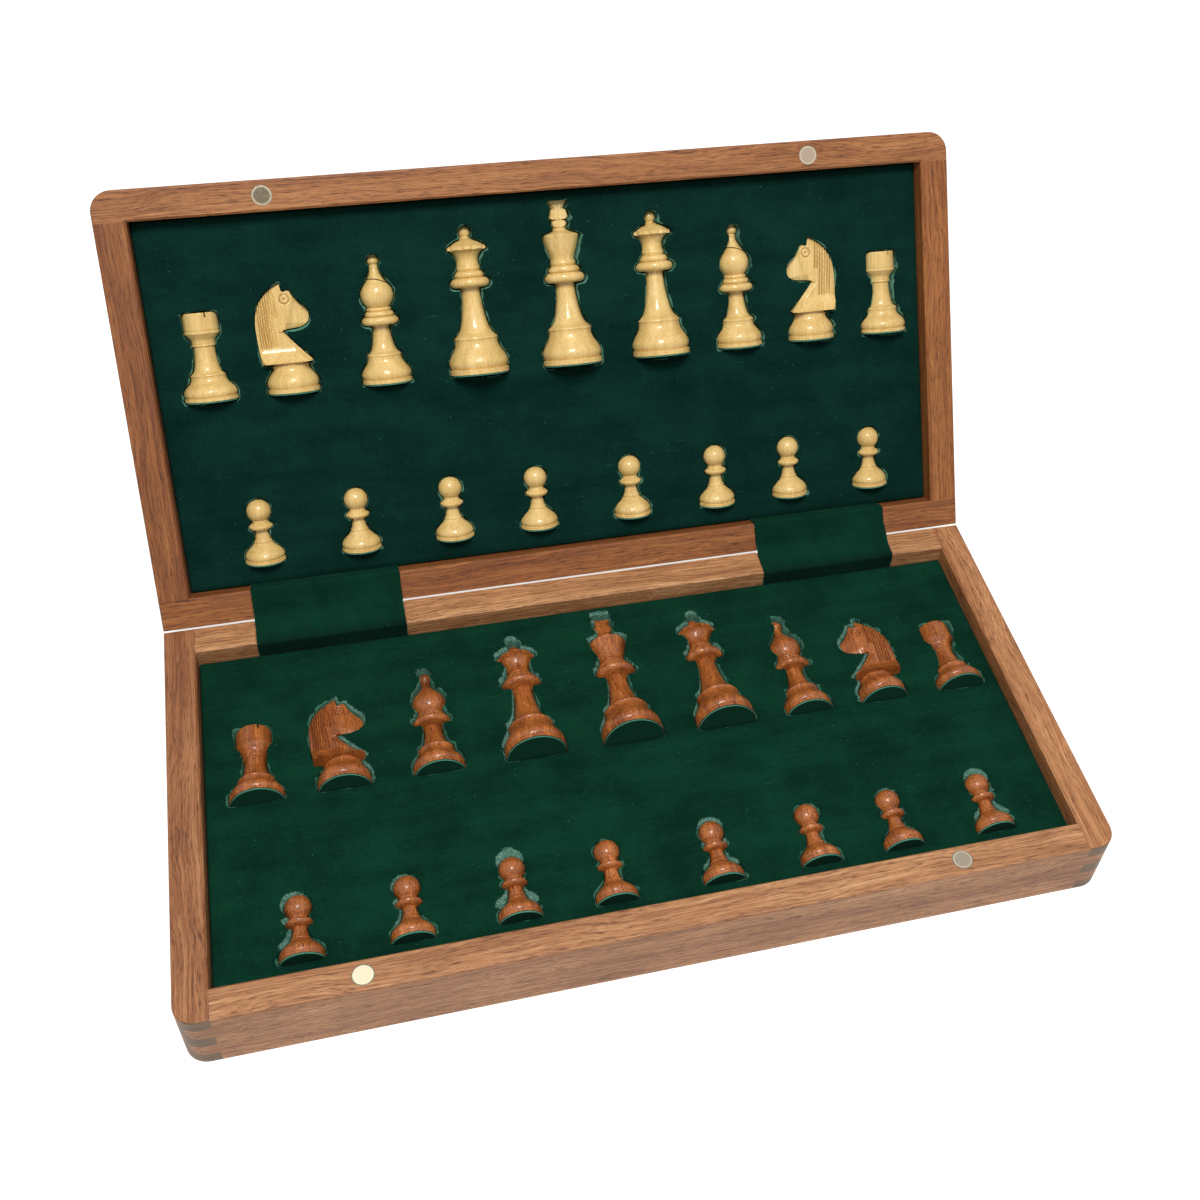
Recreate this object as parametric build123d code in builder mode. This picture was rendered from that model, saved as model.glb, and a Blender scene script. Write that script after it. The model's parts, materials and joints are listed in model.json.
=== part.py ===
"""Folding chess box: two shallow finger-jointed trays hinged along their long rear edges.

Each tray carries half of an inlaid playing board on its outer face and a velvet-covered foam
insert inside, with a fitted pocket for every man. Two velvet straps cover the brass hinges.
The box is sized round its men: their lengths set its depth and their bases its height.

Frame: X along the hinge, Y from the front to the hinge, Z up, millimetres. The origin is the
centre of the base's underside. The lid stands open at lid_opening.
"""
from build123d import *
from math import acos, cos, degrees, radians, sin, tan
import os

os.makedirs("parts", exist_ok=True)

# ---------------------------------------------------------------- the men (diameters and heights)
king_height, king_base = 69.0, 25.4
queen_height, queen_base = 62.0, 25.0
bishop_height, bishop_base = 53.0, 20.8
knight_height, knight_base = 45.0, 21.2
rook_height, rook_base = 36.0, 21.4
pawn_height, pawn_base = 27.2, 16.7
knight_across, knight_up = knight_base / 21.2, knight_height / 45.0     # scale of its drawing
knight_cheek = 4.7         # half thickness of its head in the drawing
felt_thickness = 0.6
glue_line = 0.05           # between the felt and the wood

# ---------------------------------------------------------------- the box
rail_thickness = 12.4
panel_thickness = 4.0
panel_rebate = 6.0         # how far the rails' rebates let the panel in
finger_layers = 5          # fingers in the height of one half
lid_opening = 122.5        # how far the lid stands open at rest, degrees
closing_gap = 0.4          # between the two rims when the box is shut
front_corner_radius = 8.5
rim_round = 0.9            # softened outer edges
inner_chamfer = 0.8        # along the inner edges of the rim

# ---------------------------------------------------------------- the board on the outside
side_border = 25.5         # rail and margin beside the squares
front_border = 25.5
square_thickness = 1.0
inlay_line = 0.1           # glue line between neighbouring squares

# ---------------------------------------------------------------- inserts and layout of the men
insert_recess = 7.1        # from the rim down to the velvet
insert_clearance = 0.4     # round the insert
insert_floor = 4.2         # foam left under the deepest pocket
pocket_sink = 2.0          # how much deeper the long row's pockets are than the widest foot's radius
pawn_sink = 3.1            # how much deeper the pawns' pockets are than a pawn's foot's radius
# how far each kind's head dips below its foot, degrees; the foam grips the necks
king_dip, queen_dip, bishop_dip, knight_dip, rook_dip, pawn_dip = 5.0, 4.5, 2.0, 3.0, 3.0, -3.0
pocket_clearance = 1.0     # round each man
seat_gap = 0.3             # between a man and the floor of its pocket
head_room = 4.65           # from the tallest man's head to the rail
centre_gap = 5.4           # between the feet of the two long rows when the box is shut
dark_pawn_margin, light_pawn_margin = 7.6, 9.5     # from the pawns' feet to the rail
left_margin, right_margin = 10.2, 6.7        # from the end rooks to the side rails
# shares of the free length between neighbours in the long row, from left to right
gap_shares = (0.095, 0.156, 0.141, 0.127, 0.132, 0.120, 0.110, 0.119)
outer_pawn_shift = 5.2     # the end pawns stand this far outside the middle of their gaps
# how far each man lies to the right of its place, from left to right
dark_row_stray = (-1.4, 0.1, -1.3, -1.0, -0.2, -0.6, -0.5, 0.0, 0.5)
dark_pawn_stray = (-0.4, -1.2, -0.4, -2.8, -0.7, 0.4, 0.0, -0.1)
light_row_stray = (-0.3, 0.7, 0.4, 0.4, 1.2, 0.6, 0.3, 0.4, 0.2)
light_pawn_stray = (0.4, 0.0, 1.4, -0.5, 1.9, 3.0, 2.7, 2.4)

# ---------------------------------------------------------------- hinges, straps and magnets
hinge_back = 0.3           # hinge axis behind the rear faces
barrel_diameter = 3.0
barrel_clearance = 0.25
pin_diameter = 1.2
pin_clearance = 0.05
knuckles = 5
knuckle_gap = 0.2
leaf_thickness = 0.8
leaf_width = 9.5
leaf_clearance = 0.2
leaf_cover = 5.0           # strap beyond each end of the hinge
screw_diameter, screw_head, screw_length = 1.8, 3.3, 8.0
screws_per_leaf = 3
screw_clearance = 0.1
strap_width = 61.4
strap_thickness = 0.7
strap_inset = 24.4         # from the side rail to the strap's outer edge
strap_clearance = 0.05
strap_edge_gap = 0.5       # each side of the strap in its recess
strap_flat = 3.6           # flat on each rim before the strap bends across the hinge
strap_end_gap = 0.5        # from the velvet to the end of the strap
magnet_diameter, magnet_thickness = 8.0, 3.0
magnet_clearance = 0.05
magnet_inset = 64.2        # magnet centres from the sides
magnet_setback = 6.1       # magnet centres from the front

# ---------------------------------------------------------------- sizes that follow
tallest = max(king_height, queen_height, bishop_height, knight_height, rook_height)
half_depth = 2 * (rail_thickness + head_room + tallest + centre_gap / 2)
box_width = 2 * half_depth                      # the open board is square
widest_base = max(king_base, queen_base, bishop_base, knight_base, rook_base, pawn_base)
row_pocket = widest_base / 2 + pocket_sink
pawn_pocket = pawn_base / 2 + pawn_sink
deepest_pocket = max(row_pocket, pawn_pocket)
half_height = panel_thickness + insert_floor + deepest_pocket + insert_recess
finger = half_height / finger_layers
inner_width = box_width - 2 * rail_thickness
inner_depth = half_depth - 2 * rail_thickness
rear_y = half_depth / 2
inner_rear_y = rear_y - rail_thickness
insert_top = half_height - insert_recess
square = min((box_width - 2 * side_border) / 8, (half_depth - front_border) / 4)

hinge_y = rear_y + hinge_back
hinge_z = half_height + closing_gap / 2
barrel_radius = barrel_diameter / 2
hinge_length = strap_width - 2 * leaf_cover
strap_x = inner_width / 2 - strap_inset - strap_width / 2
strap_line = hinge_z - strap_thickness / 2      # middle of the strap over the rims
strap_corner = strap_thickness + strap_clearance    # radius round the rails' inner edges
leaf_top = strap_line - strap_thickness / 2 - strap_clearance
leaf_bottom = leaf_top - leaf_thickness

# the lid's own frame: its outer face down, its rim up, its Y towards the hinge
swing = radians(lid_opening)
lid_frame = Plane(
    origin=(
        0,
        hinge_y - hinge_y * cos(swing) + hinge_z * sin(swing),
        hinge_z + hinge_y * sin(swing) + hinge_z * cos(swing),
    ),
    x_dir=(-1, 0, 0),
    z_dir=(0, -sin(swing), -cos(swing)),
)
halves = {"base": Plane.XY.location, "lid": lid_frame.location}


def save(piece, name, place):
    """Put a finished piece from its half's own frame in its place, and write it."""
    with BuildPart() as placed:
        with Locations(place):
            add(piece)
    placed.part.label = name
    export_step(placed.part, f"parts/{name}.step")


# ================================================================ rails, panel and squares
def half_envelope():
    """The outer shape of one half, its corners rounded and its edges softened."""
    with BuildPart() as envelope:
        with BuildSketch():
            Rectangle(box_width, half_depth)
        extrude(amount=half_height)
        uprights = envelope.edges().filter_by(Axis.Z).group_by(Axis.Y)
        fillet(uprights[0], front_corner_radius)
        levels = envelope.edges().group_by(Axis.Z)
        outline = levels[0] + levels[-1]
        fillet(outline.sort_by(Axis.Y)[:-2], rim_round)
    return envelope.part


def panel_room():
    """The panel's room: let into the front and side rails, open at the hinge edge."""
    front_y = -inner_depth / 2 - panel_rebate
    with BuildPart() as room:
        with BuildSketch():
            with Locations((0, (front_y + rear_y) / 2)):
                Rectangle(inner_width + 2 * panel_rebate, rear_y - front_y)
        extrude(amount=panel_thickness)
    return room.part


def rim_chamfer():
    """The wedge taken off the inner edges of the rim."""
    with BuildPart() as wedge:
        with BuildSketch(Plane.XY.offset(half_height)):
            Rectangle(inner_width + 2 * inner_chamfer, inner_depth + 2 * inner_chamfer)
        extrude(amount=-inner_chamfer, taper=45)
    return wedge.part


def corner_blocks(layers):
    """The four corners of the frame, in the given layers of fingers."""
    with BuildPart() as blocks:
        for layer in layers:
            with BuildSketch(Plane.XY.offset(layer * finger)):
                with GridLocations(inner_width + rail_thickness, inner_depth + rail_thickness, 2, 2):
                    Rectangle(rail_thickness, rail_thickness)
            extrude(amount=finger)
    return blocks.part


def magnet_holes():
    """The round pockets for the magnets in the front rail's rim."""
    with BuildPart() as holes:
        with BuildSketch(Plane.XY.offset(half_height)):
            with Locations((0, magnet_setback - half_depth / 2)):
                with GridLocations(box_width - 2 * magnet_inset, 0, 2, 1):
                    Circle(magnet_diameter / 2 + magnet_clearance)
        extrude(amount=-magnet_thickness)
    return holes.part


def hinge_recesses():
    """Room in a rear rail for the straps, the hinge leaves, the barrels and the screws."""
    leaf_room = leaf_width - hinge_back + leaf_clearance
    with BuildPart() as recesses:
        with BuildSketch(Plane.XY.offset(leaf_top)):
            with Locations((0, rear_y - rail_thickness / 2)):
                with GridLocations(2 * strap_x, 0, 2, 1):
                    Rectangle(strap_width + 2 * strap_edge_gap, rail_thickness)
        extrude(amount=half_height - leaf_top)
        with BuildSketch(Plane.XY.offset(leaf_bottom)):
            with Locations((0, rear_y - leaf_room / 2)):
                with GridLocations(2 * strap_x, 0, 2, 1):
                    Rectangle(hinge_length + 2 * leaf_clearance, leaf_room)
        extrude(amount=half_height - leaf_bottom)
        for side in (-1, 1):
            with BuildSketch(Plane.YZ.offset(side * strap_x - hinge_length / 2 - leaf_clearance)):
                with Locations((hinge_y, hinge_z)):
                    Circle(barrel_radius + barrel_clearance)
            extrude(amount=hinge_length + 2 * leaf_clearance)
        with BuildSketch(Plane.XY.offset(leaf_bottom)):
            with Locations(*screw_places(-1), *screw_places(1)):
                Circle(screw_diameter / 2 + screw_clearance)
        extrude(amount=leaf_thickness - screw_length - screw_clearance)
    return recesses.part


def rail_set(long_rails_outermost):
    """The four rails of one half. Their fingers take turns, layer by layer, at the corners."""
    turns = range(finger_layers)
    long_layers = [layer for layer in turns if (layer % 2 == 0) == long_rails_outermost]
    side_layers = [layer for layer in turns if layer not in long_layers]
    long_places = {"front_rail": (0, -(half_depth - rail_thickness) / 2)}
    long_places["rear_rail"] = (0, (half_depth - rail_thickness) / 2)
    side_places = {"left_rail": (-(box_width - rail_thickness) / 2, 0)}
    side_places["right_rail"] = ((box_width - rail_thickness) / 2, 0)
    rails = {}
    for name, centre in {**long_places, **side_places}.items():
        along_x = name in long_places
        with BuildPart() as rail:
            with BuildSketch():
                with Locations(centre):
                    if along_x:
                        Rectangle(box_width, rail_thickness)
                    else:
                        Rectangle(rail_thickness, half_depth)
            extrude(amount=half_height)
            add(corner_blocks(side_layers if along_x else long_layers), mode=Mode.SUBTRACT)
            add(envelope, mode=Mode.INTERSECT)
            add(panel_room(), mode=Mode.SUBTRACT)
            add(rim_chamfer(), mode=Mode.SUBTRACT)
            if name == "front_rail":
                add(magnet_holes(), mode=Mode.SUBTRACT)
            if name == "rear_rail":
                add(hinge_recesses(), mode=Mode.SUBTRACT)
        rails[name] = rail.part
    return rails


def screw_places(side):
    """Centres of one leaf's screws."""
    pitch = hinge_length / screws_per_leaf
    screw_y = hinge_y - (leaf_width + barrel_radius) / 2
    middle = (screws_per_leaf - 1) / 2
    return [(side * strap_x + (n - middle) * pitch, screw_y) for n in range(screws_per_leaf)]


def board_panel():
    """Plywood panel, with a shallow field for the squares in its outer face."""
    field_depth = 4 * square
    with BuildPart() as panel:
        add(panel_room())
        with BuildSketch(Plane.XY):
            with Locations((0, rear_y - field_depth / 2)):
                Rectangle(8 * square, field_depth)
        extrude(amount=square_thickness, mode=Mode.SUBTRACT)
    return panel.part


def board_squares(colour):
    """The sixteen squares of one colour; a light square lies at each player's right hand."""
    parity = 1 if colour == "light" else 0
    places = [
        ((file - 3.5) * square, rear_y - (rank + 0.5) * square)
        for file in range(8)
        for rank in range(4)
        if (file + rank) % 2 == parity
    ]
    with BuildPart() as squares:
        with BuildSketch(Plane.XY):
            with Locations(*places):
                Rectangle(square - inlay_line, square - inlay_line)
        extrude(amount=square_thickness)
    return squares.part


# ================================================================ hinges, straps and magnets
def knuckle_spans(side, half):
    """Start and length along X of one half's knuckles of one hinge, in that half's own frame."""
    pitch = hinge_length / knuckles
    spans = []
    for number in range(knuckles):
        if (number % 2 == 0) == (half == "base"):
            place = number if half == "base" else knuckles - 1 - number
            start = side * strap_x - hinge_length / 2 + place * pitch + knuckle_gap / 2
            spans.append((start, pitch - knuckle_gap))
    return spans


def hinge_leaves(half):
    """Both leaves of one half: a countersunk plate with its knuckles rolled round the pin."""
    with BuildPart() as leaves:
        with BuildSketch(Plane.XY.offset(leaf_bottom)):
            with Locations((0, hinge_y - leaf_width / 2)):
                with GridLocations(2 * strap_x, 0, 2, 1):
                    Rectangle(hinge_length, leaf_width)
        extrude(amount=leaf_thickness)
        for side in (-1, 1):
            with BuildSketch(Plane.YZ.offset(side * strap_x - hinge_length / 2)):
                with Locations((hinge_y, hinge_z)):
                    Circle(barrel_radius + barrel_clearance)
            extrude(amount=hinge_length, mode=Mode.SUBTRACT)
            for start, length in knuckle_spans(side, half):
                with BuildSketch(Plane.YZ.offset(start)):
                    with Locations((hinge_y, hinge_z)):
                        Circle(barrel_radius)
                    with Locations((hinge_y - barrel_radius / 2, (leaf_bottom + leaf_top) / 2)):
                        Rectangle(2 * barrel_radius, leaf_thickness)
                    with Locations((hinge_y, hinge_z)):
                        Circle(pin_diameter / 2 + pin_clearance, mode=Mode.SUBTRACT)
                extrude(amount=length)
        with Locations(*[(x, y, leaf_top) for x, y in screw_places(-1) + screw_places(1)]):
            CounterSinkHole(
                radius=screw_diameter / 2 + screw_clearance,
                counter_sink_radius=screw_head / 2 + screw_clearance,
                depth=2 * leaf_thickness,
                counter_sink_angle=90,
            )
    return leaves.part


def hinge_screws():
    """Slotted countersunk screws, flush with the leaves."""
    head_height = (screw_head - screw_diameter) / 2
    slot_width, slot_depth = 0.5, 0.35
    places = screw_places(-1) + screw_places(1)
    with BuildPart() as screws:
        with BuildSketch(Plane.XY.offset(leaf_top)):
            with Locations(*places):
                Circle(screw_diameter / 2)
        extrude(amount=-screw_length)
        with Locations(*[(x, y, leaf_top - head_height / 2) for x, y in places]):
            Cone(screw_diameter / 2, screw_head / 2, head_height)
        with BuildSketch(Plane.XY.offset(leaf_top)):
            with Locations(*places):
                Rectangle(2 * screw_head, slot_width)
        extrude(amount=-slot_depth, mode=Mode.SUBTRACT)
    return screws.part


def hinge_pins():
    """The two pins, one through each barrel."""
    with BuildPart() as pins:
        for side in (-1, 1):
            with BuildSketch(Plane.YZ.offset(side * strap_x - hinge_length / 2)):
                with Locations((hinge_y, hinge_z)):
                    Circle(pin_diameter / 2)
            extrude(amount=hinge_length)
    return pins.part


def strap_point(along, above, on_lid):
    """A point of the strap's middle line, given in a half's own Y and Z, as world Y and Z."""
    if not on_lid:
        return (along, above)
    point = lid_frame.from_local_coords((0, along, above))
    return (point.Y, point.Z)


def hinge_strap(side):
    """A velvet strap: down each rear rail's inner wall, over both rims and across the hinge."""
    wall = inner_rear_y - strap_thickness / 2 - strap_clearance
    foot = insert_top + strap_end_gap
    # where the two middle lines over the rims would meet
    corner = hinge_y + (hinge_z - strap_line) / tan(swing / 2)
    bend_radius = (corner - wall - strap_corner - strap_flat) * tan(swing / 2)
    route = [
        strap_point(wall, foot, False),
        strap_point(wall, strap_line, False),
        strap_point(corner, strap_line, False),
        strap_point(wall, strap_line, True),
        strap_point(wall, foot, True),
    ]
    with BuildPart() as strap:
        with BuildLine(Plane.YZ.offset(side * strap_x)) as path:
            FilletPolyline(*route, radius=[strap_corner, bend_radius, strap_corner])
        start = Plane(origin=path.line @ 0, x_dir=(1, 0, 0), z_dir=path.line % 0)
        with BuildSketch(start):
            Rectangle(strap_width, strap_thickness)
        sweep()
    return strap.part


def rim_magnets():
    """Two disc magnets set flush in the front rail's rim."""
    with BuildPart() as magnets:
        with BuildSketch(Plane.XY.offset(half_height)):
            with Locations((0, magnet_setback - half_depth / 2)):
                with GridLocations(box_width - 2 * magnet_inset, 0, 2, 1):
                    Circle(magnet_diameter / 2)
        extrude(amount=-magnet_thickness)
    return magnets.part


# ================================================================ the men
# A man is turned about Z, standing on its felt at Z = 0. Profiles are drawn as (radius, height).
def bead(radius, low, high, depth):
    """A half-round ring between two heights, standing depth proud of its neck."""
    return ThreePointArc((radius - depth, low), (radius, (low + high) / 2), (radius - depth, high))


def ball(radius, neck_radius, top):
    """A ball on the axis, from its neck to its top."""
    neck_angle = degrees(acos(neck_radius / radius))
    return CenterArc((0, top - radius), radius, -neck_angle, 90 + neck_angle)


def foot(base_radius, step_radius, step_height, stem_radius, stem_top):
    """Plinth ring, swelling bell, step ring and waisted stem, from the bottom up."""
    ring = 0.17 * step_height
    neck = step_height + 0.075 * (stem_top - step_height)
    shoulder = 0.81 * step_radius
    rise = stem_top - neck
    swell = shoulder - stem_radius
    return [
        Line((0, felt_thickness + glue_line), (base_radius, felt_thickness + glue_line)),
        Line((base_radius, felt_thickness + glue_line), (base_radius, ring)),
        Spline(
            (0.93 * base_radius, ring + 0.15),
            (0.995 * base_radius, 0.34 * step_height),
            (0.90 * base_radius, 0.54 * step_height),
            (step_radius + 0.02 * base_radius, 0.74 * step_height),
            (0.985 * step_radius, 0.92 * step_height),
        ),
        bead(1.01 * step_radius, 0.92 * step_height, step_height, 0.03 * step_radius),
        Spline(
            (shoulder, neck),
            (stem_radius + 0.51 * swell, neck + 0.20 * rise),
            (stem_radius + 0.26 * swell, neck + 0.43 * rise),
            (stem_radius, stem_top),
            tangents=[(-0.8, 1.0), (0.0, 1.0)],
        ),
    ]


def collar_stack(low, collar, second, third):
    """The thick collar with two thinner rings above it, each given as (radius, top)."""
    third_low = second[1] + 0.15 * (third[1] - second[1])
    return [
        bead(collar[0], low, collar[1], (collar[1] - low) / 2),
        bead(second[0], collar[1], second[1], 0.10 * second[0]),
        bead(third[0], third_low, third[1], 0.07 * third[0]),
    ]


def close_profile(runs):
    """Straight links between the runs of a half profile, and the axis that closes it."""
    ends = [(run @ 0, run @ 1) for run in runs]
    for (_, here), (there, _) in zip(ends, ends[1:]):
        if (there - here).length > 1e-4:
            Line(here, there)
    if abs(ends[-1][1].X) > 1e-4:
        top = ends[-1][1]
        Line(top, (0, top.Y))
        Line((0, top.Y), ends[0][0])
    else:
        Line(ends[-1][1], ends[0][0])


def turn(draw_runs):
    """A turned body from the function that draws its runs."""
    with BuildPart() as body:
        with BuildSketch(Plane.XZ):
            with BuildLine():
                close_profile(draw_runs())
            make_face()
        revolve(axis=Axis.Z)
    return body.part


def felt_disc(base_radius):
    """The green felt glued under a man."""
    with BuildPart() as felt:
        with BuildSketch():
            Circle(0.97 * base_radius)
        extrude(amount=felt_thickness)
    return felt.part


def king():
    """King: cup-shaped crown under a cross that is cut flat front and back."""
    h, r = king_height, king_base / 2
    crown_low, crown_high, crown_radius = 0.645 * h, 0.79 * h, 0.66 * r
    finial_low = 0.822 * h

    def body_runs():
        return [
            *foot(r, 0.735 * r, 0.232 * h, 0.33 * r, 0.503 * h),
            *collar_stack(0.506 * h, (0.70 * r, 0.566 * h), (0.565 * r, 0.604 * h), (0.455 * r, 0.64 * h)),
            Spline(
                (0.41 * r, crown_low),
                (0.50 * r, 0.70 * h),
                (crown_radius, crown_high),
                tangents=[(0.1, 1.0), (0.42, 1.0)],
            ),
            Spline(
                (crown_radius - 0.02 * r, crown_high + 0.006 * h),
                (0.45 * r, 0.812 * h),
                (0.33 * r, finial_low),
            ),
        ]

    def finial_runs():
        return [
            Line((0, finial_low - 0.02 * h), (0.20 * r, finial_low - 0.02 * h)),
            Line((0.25 * r, finial_low), (0.25 * r, 0.836 * h)),
            bead(0.30 * r, 0.838 * h, 0.884 * h, 0.12 * r),
            Spline(
                (0.25 * r, 0.888 * h),
                (0.345 * r, 0.896 * h),
                (0.355 * r, 0.918 * h),
                (0.335 * r, 0.938 * h),
                (0.24 * r, 0.948 * h),
            ),
            Spline(
                (0.23 * r, 0.953 * h),
                (0.29 * r, 0.975 * h),
                (0.37 * r, 0.994 * h),
            ),
            Line((0.37 * r, 0.994 * h), (0.33 * r, h)),
        ]

    body = turn(body_runs)
    finial = turn(finial_runs)
    with BuildPart() as cross:
        add(finial)
        with BuildSketch(Plane.XY):
            Rectangle(king_base, 0.44 * r)
        extrude(amount=1.1 * h, mode=Mode.INTERSECT)
    with BuildPart() as whole:
        add(body)
        add(cross.part)
    return whole.part


def queen():
    """Queen: wide scalloped coronet and a ball."""
    h, r = queen_height, queen_base / 2
    coronet_low, coronet_high, coronet_radius = 0.832 * h, 0.862 * h, 0.70 * r
    scallops, scallop_radius = 10, 0.15 * r

    def runs():
        return [
            *foot(r, 0.735 * r, 0.256 * h, 0.32 * r, 0.584 * h),
            *collar_stack(0.588 * h, (0.68 * r, 0.651 * h), (0.525 * r, 0.692 * h), (0.415 * r, 0.733 * h)),
            Spline(
                (0.385 * r, 0.737 * h),
                (0.372 * r, 0.775 * h),
                (0.47 * r, 0.812 * h),
                (coronet_radius, coronet_low + 0.006 * h),
                tangents=[(-0.15, 1.0), (1.0, 0.22)],
            ),
            Line((coronet_radius, coronet_low + 0.006 * h), (coronet_radius, coronet_high - 0.01 * h)),
            Spline(
                (coronet_radius - 0.02 * r, coronet_high - 0.004 * h),
                (0.50 * r, 0.884 * h),
                (0.30 * r, 0.906 * h),
                (0.16 * r, 0.915 * h),
            ),
            ball(0.22 * r, 0.16 * r, h),
        ]

    turned = turn(runs)
    with BuildPart() as whole:
        add(turned)
        with BuildSketch(Plane.XY.offset(coronet_low)):
            with PolarLocations(coronet_radius + 0.6 * scallop_radius, scallops):
                Circle(scallop_radius)
        extrude(amount=coronet_high - coronet_low, mode=Mode.SUBTRACT)
    return whole.part


def bishop():
    """Bishop: a mitre ball with a slanting slit, drawn up into a necked button."""
    h, r = bishop_height, bishop_base / 2
    mitre, mitre_middle = 0.665 * r, 0.694 * h
    slit_width, slit_lean = 0.055 * r, 24

    def runs():
        return [
            *foot(r, 0.70 * r, 0.238 * h, 0.35 * r, 0.457 * h),
            *collar_stack(0.461 * h, (0.765 * r, 0.526 * h), (0.615 * r, 0.565 * h), (0.52 * r, 0.594 * h)),
            ThreePointArc(
                (0.44 * r, 0.597 * h), (mitre, mitre_middle), (0.47 * r, mitre_middle + 0.092 * h)
            ),
            Spline(
                (0.47 * r, mitre_middle + 0.092 * h),
                (0.28 * r, 0.845 * h),
                (0.185 * r, 0.885 * h),
                (0.175 * r, 0.925 * h),
                tangents=[(-0.75, 1.0), (0.0, 1.0)],
            ),
            bead(0.26 * r, 0.93 * h, 0.985 * h, 0.07 * r),
            Line((0.17 * r, h), (0.0, h)),
        ]

    turned = turn(runs)
    slit_plane = Plane.XY.offset(mitre_middle + 0.088 * h).rotated((slit_lean, -14, 0))
    with BuildPart() as whole:
        add(turned)
        with BuildSketch(slit_plane):
            with Locations((0, 0.5 * r)):
                Rectangle(3 * r, r)
        extrude(amount=slit_width / 2, both=True, mode=Mode.SUBTRACT)
    return whole.part


def rook():
    """Rook: a drum with narrow slots over a cup and a thin collar."""
    h, r = rook_height, rook_base / 2
    drum_low, drum_radius = 0.80 * h, 0.66 * r
    slot_width, slot_depth = 0.075 * r, 0.055 * h
    bowl_radius, bowl_depth = 0.42 * r, 0.03 * h

    def runs():
        return [
            *foot(r, 0.675 * r, 0.313 * h, 0.395 * r, 0.618 * h),
            bead(0.455 * r, 0.622 * h, 0.652 * h, 0.03 * r),
            Spline(
                (0.44 * r, 0.655 * h),
                (0.475 * r, 0.70 * h),
                (0.60 * r, 0.745 * h),
                (0.665 * r, 0.765 * h),
                tangents=[(0.0, 1.0), (1.0, 0.5)],
            ),
            Line((0.672 * r, 0.772 * h), (0.665 * r, 0.792 * h)),
            Line((0.645 * r, 0.796 * h), (0.645 * r, drum_low + 0.003 * h)),
            Line((drum_radius, drum_low + 0.006 * h), (0.655 * r, 0.975 * h)),
            ThreePointArc((0.652 * r, 0.98 * h), (0.645 * r, 0.994 * h), (0.625 * r, h)),
            Line((0.625 * r, h), (bowl_radius, h)),
            Line((bowl_radius, h), (0.9 * bowl_radius, h - bowl_depth)),
            Line((0.9 * bowl_radius, h - bowl_depth), (0, h - bowl_depth)),
        ]

    turned = turn(runs)
    with BuildPart() as whole:
        add(turned)
        with BuildSketch(Plane.XY.offset(h)):
            for angle in (20, 110):
                Rectangle(3 * r, slot_width, rotation=angle)
        extrude(amount=-slot_depth, mode=Mode.SUBTRACT)
    return whole.part


def pawn():
    """Pawn: a ball over a thin tapered collar."""
    h, r = pawn_height, pawn_base / 2

    def runs():
        return [
            Line((0, felt_thickness + glue_line), (r, felt_thickness + glue_line)),
            Line((r, felt_thickness + glue_line), (r, 0.038 * h)),
            Line((0.975 * r, 0.042 * h), (0.985 * r, 0.062 * h)),
            Spline(
                (0.93 * r, 0.07 * h),
                (0.975 * r, 0.125 * h),
                (0.85 * r, 0.20 * h),
                (0.56 * r, 0.285 * h),
                (0.44 * r, 0.325 * h),
            ),
            bead(0.45 * r, 0.328 * h, 0.352 * h, 0.02 * r),
            Spline(
                (0.41 * r, 0.357 * h),
                (0.345 * r, 0.43 * h),
                (0.31 * r, 0.515 * h),
                tangents=[(-0.5, 1.0), (0.0, 1.0)],
            ),
            Spline((0.42 * r, 0.525 * h), (0.56 * r, 0.552 * h), (0.60 * r, 0.583 * h)),
            Spline((0.585 * r, 0.597 * h), (0.50 * r, 0.617 * h), (0.40 * r, 0.636 * h)),
            ball(0.595 * r, 0.39 * r, h),
        ]

    return turn(runs)


def knight_runs():
    """The knight's side view, nose towards +X: back, ear, brow, face, lips, throat and breast."""
    runs = [
        [(-11.0, 12.8), (-11.4, 17.5), (-11.8, 25.5), (-11.4, 31.5), (-8.9, 38.2), (-4.8, 42.4),
         (-0.4, 45.0)],
        [(-0.4, 45.0), (0.1, 42.0)],
        [(0.1, 42.0), (0.8, 41.3), (1.7, 41.8)],
        [(1.7, 41.8), (3.0, 41.7), (3.7, 40.3)],
        [(3.7, 40.3), (6.1, 36.9), (8.9, 34.2)],
        [(8.9, 34.2), (9.8, 31.2), (8.8, 28.4)],
        [(8.8, 28.4), (6.4, 27.0), (3.1, 26.5), (-0.8, 26.0)],
        [(-0.8, 26.0), (-1.3, 25.7), (-1.0, 25.1)],
        [(-1.0, 25.1), (4.0, 19.0), (9.3, 13.3)],
        [(9.3, 13.3), (9.0, 12.8)],
    ]
    return [[(across * knight_across, up * knight_up) for across, up in run] for run in runs]


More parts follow.
